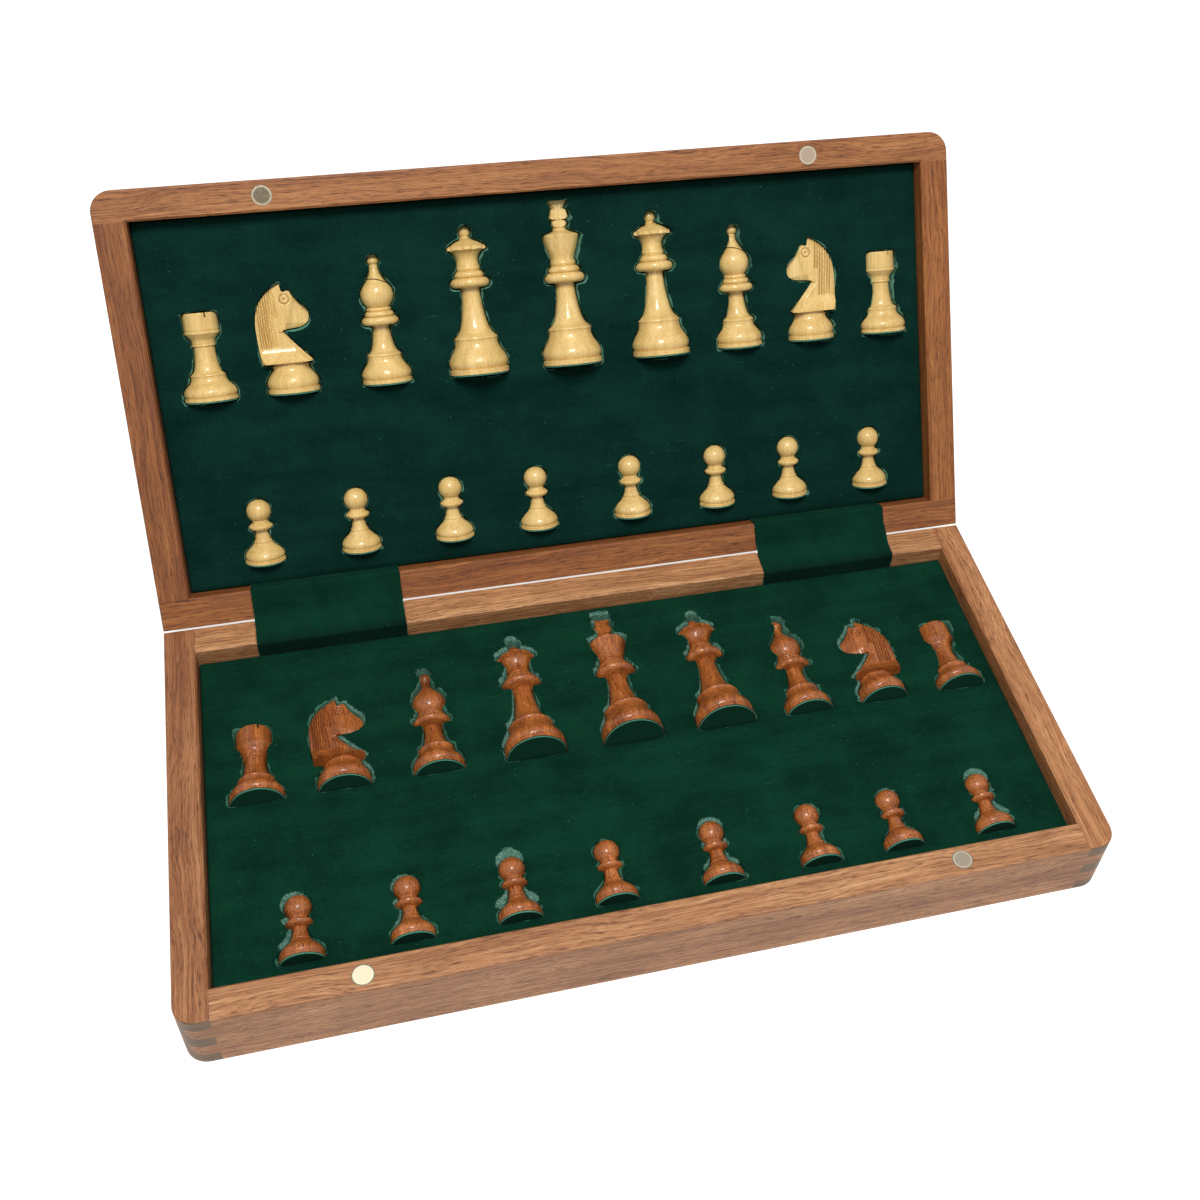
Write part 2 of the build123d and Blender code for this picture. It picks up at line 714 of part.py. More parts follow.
def knight():
    """Knight: flat-sided carved head on a cup-shaped foot."""
    u, v = knight_across, knight_up
    r, plate = knight_base / 2, 12.8 * v
    cheek = knight_cheek * u
    plate_half = 8.8 * u                 # half thickness where it meets the foot

    def foot_runs():
        return [
            Line((0, felt_thickness + glue_line), (r, felt_thickness + glue_line)),
            Line((r, felt_thickness + glue_line), (r, 0.051 * knight_height)),
            Spline(
                (0.93 * r, 0.054 * knight_height),
                (0.99 * r, 0.107 * knight_height),
                (0.90 * r, 0.163 * knight_height),
                (0.765 * r, 0.205 * knight_height),
                (0.73 * r, 0.258 * knight_height),
            ),
            Line((0.66 * r, 0.262 * knight_height), (0.66 * r, plate + 0.5 * v)),
        ]

    pedestal = turn(foot_runs)
    with BuildPart() as head:
        with BuildSketch(Plane.XZ):
            with BuildLine():
                runs = knight_runs()
                for run in runs:
                    Line(*run) if len(run) == 2 else Spline(*run)
                Line(runs[-1][-1], runs[0][0])
            make_face()
        extrude(amount=knight_base, both=True)
        # end view: thin head that flares out to the plate
        with BuildSketch(Plane.YZ):
            with BuildLine():
                for side in (-1, 1):
                    Spline(
                        (side * plate_half, plate - 0.1 * v),
                        (side * 6.6 * u, 15.2 * v),
                        (side * cheek, 19.5 * v),
                        tangents=[(-side * 1.0, 0.75), (0, 1.0)],
                    )
                    Line((side * cheek, 19.5 * v), (side * cheek, 35.0 * v))
                    Line((side * cheek, 35.0 * v), (side * 4.1 * u, 46.0 * v))
                Line((-4.1 * u, 46.0 * v), (4.1 * u, 46.0 * v))
                Line((-plate_half, plate - 0.1 * v), (plate_half, plate - 0.1 * v))
            make_face()
        extrude(amount=2 * knight_base, both=True, mode=Mode.INTERSECT)
        # plan view: the head was turned before it was carved
        with BuildSketch(Plane.XY.offset(plate - 0.2 * v)):
            with Locations((-0.9 * u, 0)):
                Circle(11.8 * u)
        extrude(amount=knight_height, mode=Mode.INTERSECT)
        # the muzzle tapers to the nose, and its lower edges are pared away
        for side in (-1, 1):
            with BuildSketch(Plane.XY.offset(24.0 * v)):
                with BuildLine():
                    Polyline(
                        (2.4 * u, side * (cheek + 1.0 * u)),
                        (2.4 * u, side * cheek),
                        (11.0 * u, side * 2.5 * u),
                        (11.0 * u, side * (cheek + 1.0 * u)),
                        close=True,
                    )
                make_face()
            extrude(amount=knight_height, mode=Mode.SUBTRACT)
            along_muzzle = Plane(
                origin=(2.4 * u, side * cheek, 0),
                x_dir=(0, 0, 1),
                z_dir=(8.6 * u, side * (2.5 * u - cheek), 0),
            )
            with BuildSketch(along_muzzle):
                with BuildLine():
                    Polyline(
                        (24.5 * v, side * 1.7 * u),
                        (24.5 * v, -side * 0.5 * u),
                        (30.4 * v, -side * 0.5 * u),
                        close=True,
                    )
                make_face()
            extrude(amount=knight_base / 2, mode=Mode.SUBTRACT)
        # mane grooves, round eyes with a drilled pupil
        groove_half, groove_floor = 0.32 * u, cheek - 0.75 * u
        for side in (-1, 1):
            floor_plane = Plane(origin=(0, side * groove_floor, 0), x_dir=(1, 0, 0), z_dir=(0, side, 0))
            up = 1 if floor_plane.y_dir.Z > 0 else -1
            with BuildSketch(floor_plane):
                for number in range(7):
                    start = (31.0 if number < 2 else 19.4) * v
                    rise = 44.0 * v - start
                    low = (-2.8 - 1.17 * number) * u + 0.09 * (31.0 * v - start)
                    high = low - 0.09 * rise
                    with BuildLine():
                        Polyline(
                            (low - groove_half, up * start),
                            (low + groove_half, up * start),
                            (high + groove_half, up * (start + rise)),
                            (high - groove_half, up * (start + rise)),
                            close=True,
                        )
                    make_face()
                with Locations((0.9 * u, up * 38.4 * v)):
                    Circle(2.15 * u)
                    Circle(1.65 * u, mode=Mode.SUBTRACT)
                    Circle(0.45 * u)
            extrude(amount=2 * u, mode=Mode.SUBTRACT)
    with BuildPart() as whole:
        add(pedestal)
        add(head.part)
    return whole.part


# ---- how each kind lies: foot radius, where it swells, how deep its pocket is and how its head dips
class Man:
    """One kind of man with the sizes that its pocket and its place follow."""

    def __init__(self, body, base, swell_height, dip, depth, outline):
        self.wood = body
        self.felt = felt_disc(base / 2)
        self.base_radius = base / 2
        self.swell_height = swell_height
        self.tilt = radians(dip)
        self.depth = depth
        self.outline = outline          # (height, half width) down one side, or None for the knight


def outline_of(height, base, *stations):
    """A plain silhouette, from shares of a man's height and of its foot's radius."""
    return [(share_up * height, share_out * base / 2) for share_up, share_out in stations]


kinds = {
    "king": Man(
        king(), king_base, 0.34 * 0.232 * king_height, king_dip, row_pocket,
        outline_of(
            king_height, king_base, (0, 1), (0.10, 1), (0.18, 0.76), (0.235, 0.74), (0.30, 0.50),
            (0.47, 0.36), (0.505, 0.68), (0.57, 0.68), (0.64, 0.46), (0.79, 0.66), (0.82, 0.40), (1, 0.38),
        ),
    ),
    "queen": Man(
        queen(), queen_base, 0.34 * 0.256 * queen_height, queen_dip, row_pocket,
        outline_of(
            queen_height, queen_base, (0, 1), (0.11, 1), (0.20, 0.76), (0.26, 0.74), (0.33, 0.50),
            (0.55, 0.34), (0.59, 0.66), (0.65, 0.66), (0.73, 0.42), (0.78, 0.44), (0.84, 0.70),
            (0.87, 0.66), (0.91, 0.24), (1, 0.22),
        ),
    ),
    "bishop": Man(
        bishop(), bishop_base, 0.34 * 0.238 * bishop_height, bishop_dip, row_pocket,
        outline_of(
            bishop_height, bishop_base, (0, 1), (0.11, 1), (0.19, 0.74), (0.24, 0.71), (0.31, 0.50),
            (0.44, 0.37), (0.465, 0.75), (0.525, 0.75), (0.60, 0.55), (0.65, 0.66), (0.74, 0.66),
            (0.83, 0.34), (0.93, 0.26), (1, 0.26),
        ),
    ),
    "knight": Man(knight(), knight_base, 0.107 * knight_height, knight_dip, row_pocket, None),
    "rook": Man(
        rook(), rook_base, 0.34 * 0.313 * rook_height, rook_dip, row_pocket,
        outline_of(
            rook_height, rook_base, (0, 1), (0.14, 1), (0.26, 0.71), (0.32, 0.68), (0.42, 0.48),
            (0.62, 0.44), (0.68, 0.50), (0.77, 0.67), (1, 0.67),
        ),
    ),
    "pawn": Man(
        pawn(), pawn_base, 0.125 * pawn_height, pawn_dip, pawn_pocket,
        outline_of(
            pawn_height, pawn_base, (0, 1), (0.13, 1), (0.30, 0.50), (0.50, 0.34), (0.53, 0.60),
            (0.60, 0.60), (0.70, 0.56), (0.78, 0.60), (0.86, 0.60), (0.94, 0.42), (1, 0.20),
        ),
    ),
}

# ---- where the men lie: X in the base's frame, from left to right
long_row = ("rook", "knight", "bishop", "queen", "king", "queen", "bishop", "knight", "rook")
sides = ("left", "left", "left", "left", "", "right", "right", "right", "right")
bases = [2 * kinds[kind].base_radius for kind in long_row]
free_length = inner_width - left_margin - right_margin - sum(bases)
row_x = [-inner_width / 2 + left_margin + bases[0] / 2]
for number, share in enumerate(gap_shares):
    step = (bases[number] + bases[number + 1]) / 2 + share * free_length
    row_x.append(row_x[-1] + step)
pawn_x = [(left + right) / 2 for left, right in zip(row_x, row_x[1:])]
pawn_x[0] -= outer_pawn_shift
pawn_x[-1] += outer_pawn_shift


class Seat:
    """One man in one half: its kind, its place in the half's own frame and the way its head points."""

    def __init__(self, name, kind, x, foot_y, towards, spin):
        self.name, self.kind, self.x, self.foot_y = name, kinds[kind], x, foot_y
        self.towards = towards          # +1 where the head points to the hinge
        self.spin = spin                # turn about the man's own axis, degrees
        self.knight = kind == "knight"


def seats(colour):
    """Every man of one colour. The dark men lie in the base, the light men in the lid."""
    towards = 1 if colour == "dark" else -1
    flip = 1 if colour == "dark" else -1         # the lid's own X runs the other way
    row_stray = dark_row_stray if colour == "dark" else light_row_stray
    pawn_stray = dark_pawn_stray if colour == "dark" else light_pawn_stray
    found = []
    for kind, side, x, stray in zip(long_row, sides, row_x, row_stray):
        name = f"{colour}_{kind}" + (f"_{side}" if side else "")
        spin = 180 if side == "left" and kind == "knight" else 0
        found.append(Seat(name, kind, flip * (x + stray), towards * centre_gap / 2, towards, spin))
    pawn_margin = dark_pawn_margin if colour == "dark" else light_pawn_margin
    pawn_foot = -towards * (inner_depth / 2 - pawn_margin)
    for number, (x, stray) in enumerate(zip(pawn_x, pawn_stray)):
        name = f"{colour}_pawn_{number + 1}"
        found.append(Seat(name, "pawn", flip * (x + stray), pawn_foot, towards, 0))
    return found


def lying_plane(seat):
    """The plane of a man's foot as it lies in its pocket, the swell of the foot on the floor."""
    kind = seat.kind
    lift = kind.base_radius * cos(kind.tilt) + max(0, kind.swell_height * sin(kind.tilt))
    height = insert_top - kind.depth + seat_gap + lift
    return Plane(
        origin=(seat.x, seat.foot_y, height),
        x_dir=(-seat.towards, 0, 0),
        z_dir=(0, seat.towards * cos(kind.tilt), -sin(kind.tilt)),
    )


def chess_man(seat):
    """A man lying in its pocket, with its felt as a separate solid."""
    with BuildPart() as man:
        with Locations(lying_plane(seat).location * Rotation(0, 0, seat.spin)):
            add(seat.kind.wood)
            add(seat.kind.felt)
    return man.part


def pocket_plan(seat):
    """The plan of a pocket, with the man's foot at the origin and its head towards +Y."""
    foot_radius = seat.kind.base_radius
    lean = foot_radius * abs(sin(seat.kind.tilt))
    clearance = pocket_clearance
    with BuildSketch() as plan:
        if seat.knight:
            clearance += knight_cheek * knight_across * sin(seat.kind.tilt)
            nose = -1 if seat.spin else 1
            head = [(nose * across, up) for run in knight_runs() for across, up in run[:-1]]
            with BuildLine():
                Polyline(*head, close=True)
            make_face()
            cup_height, cup_radius = 0.28 * knight_height, 0.75 * foot_radius
            right = [(foot_radius, -lean), (foot_radius, cup_height / 2), (cup_radius, cup_height)]
        else:
            right = [(width, up) for up, width in seat.kind.outline]
            right[0] = (right[0][0], -lean)
        with BuildLine():
            Polyline(*right, *[(-width, up) for width, up in reversed(right)], close=True)
        make_face()
        offset(amount=clearance, kind=Kind.ARC)
    return plan.sketch


def insert(colour):
    """The foam insert of one half, with a pocket for every man."""
    with BuildPart() as block:
        with BuildSketch(Plane.XY.offset(panel_thickness)):
            Rectangle(inner_width - 2 * insert_clearance, inner_depth - 2 * insert_clearance)
        extrude(amount=insert_top - panel_thickness)
        for seat in seats(colour):
            mouth = Plane(
                origin=(seat.x, seat.foot_y, insert_top),
                x_dir=(-seat.towards, 0, 0),
                z_dir=(0, 0, -1),
            )
            with BuildSketch(mouth):
                add(pocket_plan(seat))
            extrude(amount=seat.kind.depth, mode=Mode.SUBTRACT)
    return block.part


# ================================================================ write every piece
envelope = half_envelope()
for half, place in halves.items():
    colour = "dark" if half == "base" else "light"
    for name, rail in rail_set(long_rails_outermost=half == "lid").items():
        save(rail, f"{half}_{name}", place)
    save(board_panel(), f"{half}_panel", place)
    for shade in ("light", "dark"):
        save(board_squares(shade), f"{half}_{shade}_squares", place)
    save(insert(colour), f"{half}_insert", place)
    save(rim_magnets(), f"{half}_magnets", place)
    save(hinge_leaves(half), f"{half}_hinge_leaves", place)
    save(hinge_screws(), f"{half}_hinge_screws", place)
    for seat in seats(colour):
        save(chess_man(seat), seat.name, place)
save(hinge_pins(), "hinge_pins", Plane.XY.location)
save(hinge_strap(-1), "left_strap", Plane.XY.location)
save(hinge_strap(1), "right_strap", Plane.XY.location)
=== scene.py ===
"""Looks of the folding chess box: oiled rosewood halves, velvet inserts and straps, lacquered men.

Everything is in metres in the frame's own axes. Shapes that follow a half are worked out in that
half's own frame, in millimetres: its outer face down, its rim up, its Y towards the hinge.
"""
import json
from math import pi, radians, sin

import bmesh
import bpy
import numpy as np
from mathutils import Euler, Matrix, Vector, noise
from mathutils.bvhtree import BVHTree
from mathutils.kdtree import KDTree

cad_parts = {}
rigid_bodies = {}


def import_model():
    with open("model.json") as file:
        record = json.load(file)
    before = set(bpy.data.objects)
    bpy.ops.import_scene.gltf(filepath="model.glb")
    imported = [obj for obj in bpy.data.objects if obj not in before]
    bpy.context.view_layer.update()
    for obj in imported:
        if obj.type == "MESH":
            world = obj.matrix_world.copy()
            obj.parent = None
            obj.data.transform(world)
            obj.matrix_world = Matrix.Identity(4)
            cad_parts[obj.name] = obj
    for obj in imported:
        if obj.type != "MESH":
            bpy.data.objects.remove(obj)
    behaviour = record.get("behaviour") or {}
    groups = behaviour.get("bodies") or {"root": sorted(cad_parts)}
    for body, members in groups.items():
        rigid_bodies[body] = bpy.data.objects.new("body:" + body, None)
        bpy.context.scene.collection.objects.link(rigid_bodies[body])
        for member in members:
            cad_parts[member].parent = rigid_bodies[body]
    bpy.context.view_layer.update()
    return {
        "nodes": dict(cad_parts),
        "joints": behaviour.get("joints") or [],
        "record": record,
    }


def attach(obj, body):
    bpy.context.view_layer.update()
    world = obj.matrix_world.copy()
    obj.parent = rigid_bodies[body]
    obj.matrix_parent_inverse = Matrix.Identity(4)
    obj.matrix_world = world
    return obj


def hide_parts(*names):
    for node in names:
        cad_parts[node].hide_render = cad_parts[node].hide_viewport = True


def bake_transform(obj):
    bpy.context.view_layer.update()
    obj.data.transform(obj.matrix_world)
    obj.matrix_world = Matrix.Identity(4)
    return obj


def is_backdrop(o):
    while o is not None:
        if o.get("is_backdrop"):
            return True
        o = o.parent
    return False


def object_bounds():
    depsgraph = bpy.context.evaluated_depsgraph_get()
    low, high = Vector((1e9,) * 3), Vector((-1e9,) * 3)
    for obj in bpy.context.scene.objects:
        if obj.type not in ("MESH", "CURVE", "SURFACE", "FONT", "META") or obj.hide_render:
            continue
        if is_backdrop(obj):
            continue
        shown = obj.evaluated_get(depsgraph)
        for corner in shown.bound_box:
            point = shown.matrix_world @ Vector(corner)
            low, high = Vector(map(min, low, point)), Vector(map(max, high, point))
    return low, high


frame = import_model()

MM = 0.001

# -------- camera
CAMERA_PLACE = (-0.09625, -0.34643, 0.51682)
CAMERA_TURN = (43.156, -4.550, -14.688)  # degrees
CAMERA_LENS = 44.66
CAMERA_SHIFT = (-0.0925, -0.0317)

# -------- light and floor
WORLD_LIGHT = 0.38  # plain light from all round
FLOOR_GREY = 0.64
FLOOR_GLOW = 0.70  # what the camera sees more than the lit grey, so that the floor shows white
FLOOR_SIZE = 6.0  # from its middle to its sides, metres
# each lamp's place, what it points at, its width and height, its watts and its colour
LAMPS = {
    "key": ((-0.08, -0.28, 1.13), (0, 0, 0.03), (0.34, 0.34), 11.6, (1.0, 0.985, 0.95)),
    "fill": ((0.30, -0.95, 0.40), (0, 0.05, 0.08), (0.6, 0.6), 0.3, (0.95, 0.98, 1.0)),
}

# -------- velvet inserts, millimetres
GRID_STEP = 0.65  # between the insert's vertices near the pockets
GRID_COARSE = 2.4  # and away from them
SHORTEST_STEP = 0.3  # least last step, as a share of a close one
GRID_MARGINS = (2, 3)  # how far the close lines go past the men, in front and behind
OUTLINE_STEP = 0.22  # raster of the men's outlines
POCKET_GAP = 0.38  # from a man's outline to the wall of its pocket
POCKET_WOBBLE = 0.10  # how far the cut wanders
POCKET_REACH = 6.0  # from a man's outline to where that is still worked out
LEAST_SLOPE = 0.3  # of the distance, where two pockets meet
POCKET_UNDER = 0.3  # from a man's lowest point to the pocket's floor
BARE_DROP = 0.55  # from the velvet down to the bare foam beside a man
BARE_SLOPE = 0.5  # how far inside its line the foam has its full drop
BARE_MOST = 4.0
PAWN_COVERED = (6.0, 10.0)  # from a pawn's foot: no bare foam before the first, all of it past the second
EDGE_ROLL = 1.6  # how far in from its border the velvet rolls down
EDGE_DROP = 0.9
PILE_WAVES = 0.12  # slow unevenness of the velvet
WAVES_FROM, WAVES_RISE = 1.5, 3.0  # away from the pockets, and from none to full
SKIRT_EDGE = 9.0  # the skirt's 'edge', well away from any cut
# the texture's lower part holds the top, the strip above it the skirt
UV_MARGIN, UV_TOP, UV_SKIRT, UV_SKIRT_HEIGHT = 0.01, (0.98, 0.90), 0.93, 0.06

# bands of vertices from a pocket's floor up to the level velvet: the band's number, its distance from
# the wall's line and how far it lies below the top. FLOOR and LOW_WALL stand for the floor and for
# LOW_WALL_SHARE of the way up the wall.
FLOOR, LOW_WALL = 99, 98
LOW_WALL_SHARE = 0.25
BANDS = [(-3, -0.95, FLOOR), (-2, -0.30, LOW_WALL), (-1, -0.12, 1.3), (0, 0.04, 0.30),
         (1, 0.40, 0.06), (2, 1.15, 0.0)]

# where the velvet was cut wider than the man, so that bare foam shows: how far the cut lies to the
# man's right, how far past its head, and how much wider it is on each side
CUT_TOO_WIDE = {
    "dark_knight_left": (0.9, 0.9, 0.25), "dark_bishop_left": (-0.6, 0.5, 0.0),
    "dark_queen_left": (-0.7, 2.4, 0.1), "dark_king": (-0.5, 1.8, 0.0),
    "dark_queen_right": (-0.4, 2.0, 0.0), "dark_bishop_right": (0.3, 0.3, 0.0),
    "dark_knight_right": (-1.6, 0.6, 0.1), "dark_pawn_1": (-1.3, 1.7, 0.1),
    "dark_pawn_2": (-0.8, 1.0, 0.2), "dark_pawn_3": (-0.3, 3.8, 0.6),
    "dark_pawn_5": (0.1, 2.1, 0.5), "dark_pawn_6": (0.3, 0.4, 0.1),
    "dark_pawn_7": (0.1, 0.9, 0.2), "dark_pawn_8": (0.5, 3.0, 0.4),
}

# -------- men, millimetres
FELT_DEPTH = 0.62  # just past the felt's thickness
UNDERSIDE_DEPTH = 0.70  # just past the wood's flat underside
FLAT_DEPTH = 0.05  # within the foot's flat
FOOT_FACING, DOWN_FACING = 0.96, 0.9  # least cosines of faces that count as the foot's or as level

# -------- knights, millimetres
# places are counted towards the nose from the middle of the foot, and up from the felt
KNIGHT_VOXEL = 0.22  # size of the carved head's faces
KNIGHT_NECK = 12.88  # where the head is parted from the foot
KNIGHT_OVERLAP = 0.05  # how far each reaches past that
HEAD_UP, HEAD_HALF_WIDTH = (12.7, 15.2, 17.2, 19.5, 35, 46), (8.9, 6.65, 5.2, 4.72, 4.72, 4.12)
HEAD_LEAST_WIDTH = 0.6  # half of it, where the carving goes deepest
BACK_UP, BACK = (12.8, 17.5, 25.5, 31.5, 38.2, 42.4, 45), (-11, -11.4, -11.8, -11.4, -8.9, -4.8, -0.4)
THIN_FROM, THIN_UP, THINNING = 2.4, 24, 0.256
RIDGE, RIDGE_NORMAL = (3.2, 38.7), (0.964, -0.267)  # before the muzzle
BREAST, BREAST_NORMAL = (9.3, 13.3), (-0.753, -0.658)  # the throat's slanting front edge
MUZZLE_DEPTH, THROAT_UP = 0.85, 25.6
JAW_PARED, BREAST_PARED, MANE_PARED = 0.42, 0.62, 0.5  # per millimetre past their lines
EYE, EYE_RADIUS, EYE_LINE, PUPIL_RADIUS = (0.9, 38.4), 1.9, 0.38, 0.75
GROOVES, GROOVE_DEPTH, GROOVE_HALF_WIDTH = 7, 0.55, 0.36
# of the long, upright grooves and of the short, leaning ones: the first, the next one's place behind
# it and their foot. The two short ones in front end further up.
LONG_FIRST, LONG_STEP, LONG_FOOT = -4.7, 0.95, 18.6
LONG_FADE, LONG_FADE_STEP = (-9, -1), 0.9  # how far from the mane's back edge they fade out
SHORT_FIRST, SHORT_STEP, SHORT_FOOT, SHORT_LEAN = -2.8, 1.17, 19.4, 0.09
FRONT_SHORT, FRONT_FOOT = 2, 31.0

# -------- straps, millimetres
STRAP_STEP = 0.7  # between a strap's rows of vertices
STRAP_COLUMNS = 72  # across it
STRAP_CORNER = 0.75  # bend over the rails' inner edges
STRAP_FLAT = 3.6  # flat on each rim before the bend across the hinge
STRAP_TUCK = 1.0  # how far its ends reach below the velvet beside them
STRAP_THICKNESS = 0.7
STRAP_FOLD = 7.9  # from its ends to where it folds over the rims
STRAP_BOW = 0.7  # how far the right strap's outer edge bows out over the hinge
STRAP_BOW_SPREAD = 0.16  # how far along it, as a share of its length
STRAP_ROUND, STRAP_THINNING = 0.6, 0.75  # how far in from its side edges it thins, and how much
STRAP_FRAY = 0.004  # how far its sides wander, as a share of its half width
STRAP_UV = (0.48, 0.47)  # texture that half its width and its whole length take
STRAP_PILE = 0.05  # slow unevenness of its face
STRAP_SIDE_EDGE, STRAP_FOLD_EDGE = 0.10, 0.40  # its 'edge' at its sides and at its fold, for the pale line: partly cut edge and partly painted highlight at the sides, painted highlight at the fold
SHADE_START, SHADE_FULL = 5.0, -2.0  # above the lower fold, for the painted shade at its foot


# ======== halves and their frames
hinge = next(joint for joint in frame["joints"] if joint["name"] == "lid_hinge")
hinge_point = Vector(hinge["pos_m"])
opening = radians(-hinge["range_deg"][0])


def half_matrices():
    """Each half's own frame as a matrix into the row frame."""
    shut = Matrix.Diagonal((-1, 1, -1, 1))
    shut.translation = (0, 0, 2 * hinge_point.z)
    there = Matrix.Translation(hinge_point)
    swing = Matrix.Rotation(opening, 4, Vector(hinge["axis"]))
    return {"base": Matrix.Identity(4), "lid": there @ swing @ there.inverted() @ shut}


half_matrix = half_matrices()
half_of = {}
for body, nodes in frame["record"]["behaviour"]["bodies"].items():
    joint = next((joint for joint in frame["joints"] if joint["child"] == body), None)
    for node in nodes:
        half_of[node] = body if body in half_matrix else joint["parent"]


def node_points(node):
    """A CAD node's vertices in its half's own frame, in millimetres."""
    mesh = frame["nodes"][node].data
    points = np.empty(3 * len(mesh.vertices), np.float32)
    mesh.vertices.foreach_get("co", points)
    into = np.array(half_matrix[half_of.get(node, "base")].inverted())
    return (points.reshape(-1, 3) @ into[:3, :3].T + into[:3, 3]) / MM


def own_box(node):
    """Lowest and highest corner of a node in its half's own frame, in millimetres."""
    points = node_points(node)
    return points.min(0), points.max(0)


# ======== shader helpers
def srgb(red, green, blue):
    """A display colour, 0 to 255, as the linear colour that a socket takes."""
    def linear(value):
        value /= 255
        return value / 12.92 if value <= 0.04045 else ((value + 0.055) / 1.055) ** 2.4
    return (linear(red), linear(green), linear(blue), 1.0)


class Shader:
    """A material or a world with short ways to add and join its nodes."""

    def __init__(self, name, family=bpy.data.materials):
        self.made = family.new(name)
        self.made.use_nodes = True
        self.nodes = self.made.node_tree.nodes
        self.links = self.made.node_tree.links
        self.nodes.clear()

    def put(self, socket, value):
        if isinstance(value, bpy.types.NodeSocket):
            self.links.new(value, socket)
        else:
            socket.default_value = value

    def add(self, kind, inputs=None, **settings):
        node = self.nodes.new("ShaderNode" + kind)
        for key, value in settings.items():
            setattr(node, key, value)
        for key, value in (inputs or {}).items():
            self.put(node.inputs[key], value)
        return node

    def noise(self, point, scale=1.0, detail=2.0, rough=0.5, extra=0.0):
        """Noise from 0 to 1, stretched where the scale is one for each axis."""
        if isinstance(scale, tuple):
            point, scale = self.stretch(point, scale), 1.0
        node = self.add("TexNoise", {"Vector": point, "Scale": scale, "Detail": detail, "Roughness": rough},
                        noise_dimensions="4D")
        self.put(node.inputs["W"], extra)
        return node.outputs["Fac"]

    def stretch(self, point, scale):
        return self.add("Mapping", {"Vector": point, "Scale": scale}).outputs["Vector"]

    def math(self, operation, first, second=0.0, third=0.0):
        node = self.add("Math", {0: first, 1: second, 2: third}, operation=operation)
        return node.outputs[0]

    def times(self, first, second):
        return self.math("MULTIPLY", first, second)

    def weigh(self, *layers):
        """Sum of layers, each a value and its share."""
        (first, share), *rest = layers
        total = self.times(first, share)
        for value, share in rest:
            total = self.math("MULTIPLY_ADD", value, share, total)
        return total

    def seen_directly(self):
        """1 for what the camera, a reflection or a clear material shows, 0 for light on other things."""
        path = self.add("LightPath")
        seen = self.math("MAXIMUM", path.outputs["Is Camera Ray"], path.outputs["Is Glossy Ray"])
        return self.math("MAXIMUM", seen, path.outputs["Is Transmission Ray"])

    def range(self, value, low, high, to_low=0.0, to_high=1.0):
        """value from low..high to to_low..to_high, smoothly and held at the ends."""
        node = self.add("MapRange", {"Value": value, "From Min": low, "From Max": high, "To Min": to_low,
                                     "To Max": to_high}, interpolation_type="SMOOTHSTEP")
        return node.outputs["Result"]

    def ramp(self, value, *stops):
        node = self.add("ValToRGB", {"Fac": value})
        ramp = node.color_ramp
        while len(ramp.elements) < len(stops):
            ramp.elements.new(0.5)
        for element, (place, colour) in zip(ramp.elements, stops):
            element.position = place
            element.color = colour
        return node.outputs["Color"]

    def mix(self, share, first, second, blend="MIX"):
        node = self.add("Mix", data_type="RGBA", blend_type=blend)
        self.put(node.inputs[0], share)
        self.put(node.inputs[6], first)
        self.put(node.inputs[7], second)
        return node.outputs[2]

    def bump(self, height, strength, distance):
        inputs = {"Height": height, "Strength": strength, "Distance": distance * MM}
        return self.add("Bump", inputs).outputs["Normal"]

    def finish(self, inputs):
        surface = self.add("BsdfPrincipled", inputs)
        self.add("OutputMaterial", {"Surface": surface.outputs["BSDF"]})
        return self.made


def own_coordinates(shader, half, turn=0.0):
    """Place in millimetres and direction of the surface in a half's own frame, turned about its Z."""
    into = Matrix.Rotation(turn, 4, "Z") @ half_matrix[half].inverted()
    texture = shader.add("TexCoord")
    rotation = into.to_euler()
    place = shader.add("Mapping", {"Vector": texture.outputs["Object"], "Scale": (1 / MM,) * 3,
                                   "Rotation": rotation, "Location": into.translation / MM})
    facing = shader.add("Mapping", {"Vector": texture.outputs["Normal"], "Rotation": rotation},
                        vector_type="VECTOR")
    return place.outputs["Vector"], facing.outputs["Vector"]


# ======== wood
def fibres(shader, point, seed):
    """Layers of open-grained wood whose grain runs along X, each from 0 to 1: broad bands, streaks,
    fine hairs and short dark pores."""
    warp = shader.noise(point, (0.014, 0.045, 0.045), 2, extra=seed)
    ripple = shader.noise(point, (0.11, 0.2, 0.2), 2, extra=seed)
    sway = shader.math("MULTIPLY_ADD", ripple, 0.8, shader.times(warp, 13))
    shift = shader.add("CombineXYZ", {"Y": sway, "Z": shader.times(warp, 7)})
    bent = shader.add("VectorMath", {0: point, 1: shift.outputs[0]}, operation="ADD").outputs[0]
    bands = shader.noise(bent, (0.006, 0.16, 0.13), 3, 0.6, seed)
    streaks = shader.noise(bent, (0.022, 1.35, 1.1), 4, 0.72, seed)
    hairs = shader.noise(bent, (0.13, 4.4, 4.4), 2, 0.6, seed)
    pores = shader.noise(bent, (0.19, 3.3, 3.3), 2, 0.5, seed)
    pores = shader.times(shader.range(pores, 0.53, 0.62), shader.range(streaks, 0.66, 0.42))
    return bands, streaks, hairs, pores


def tinted(colour, tint):
    """A colour with each of its channels multiplied."""
    return (*(min(1.0, channel * share) for channel, share in zip(colour, tint)), 1.0)


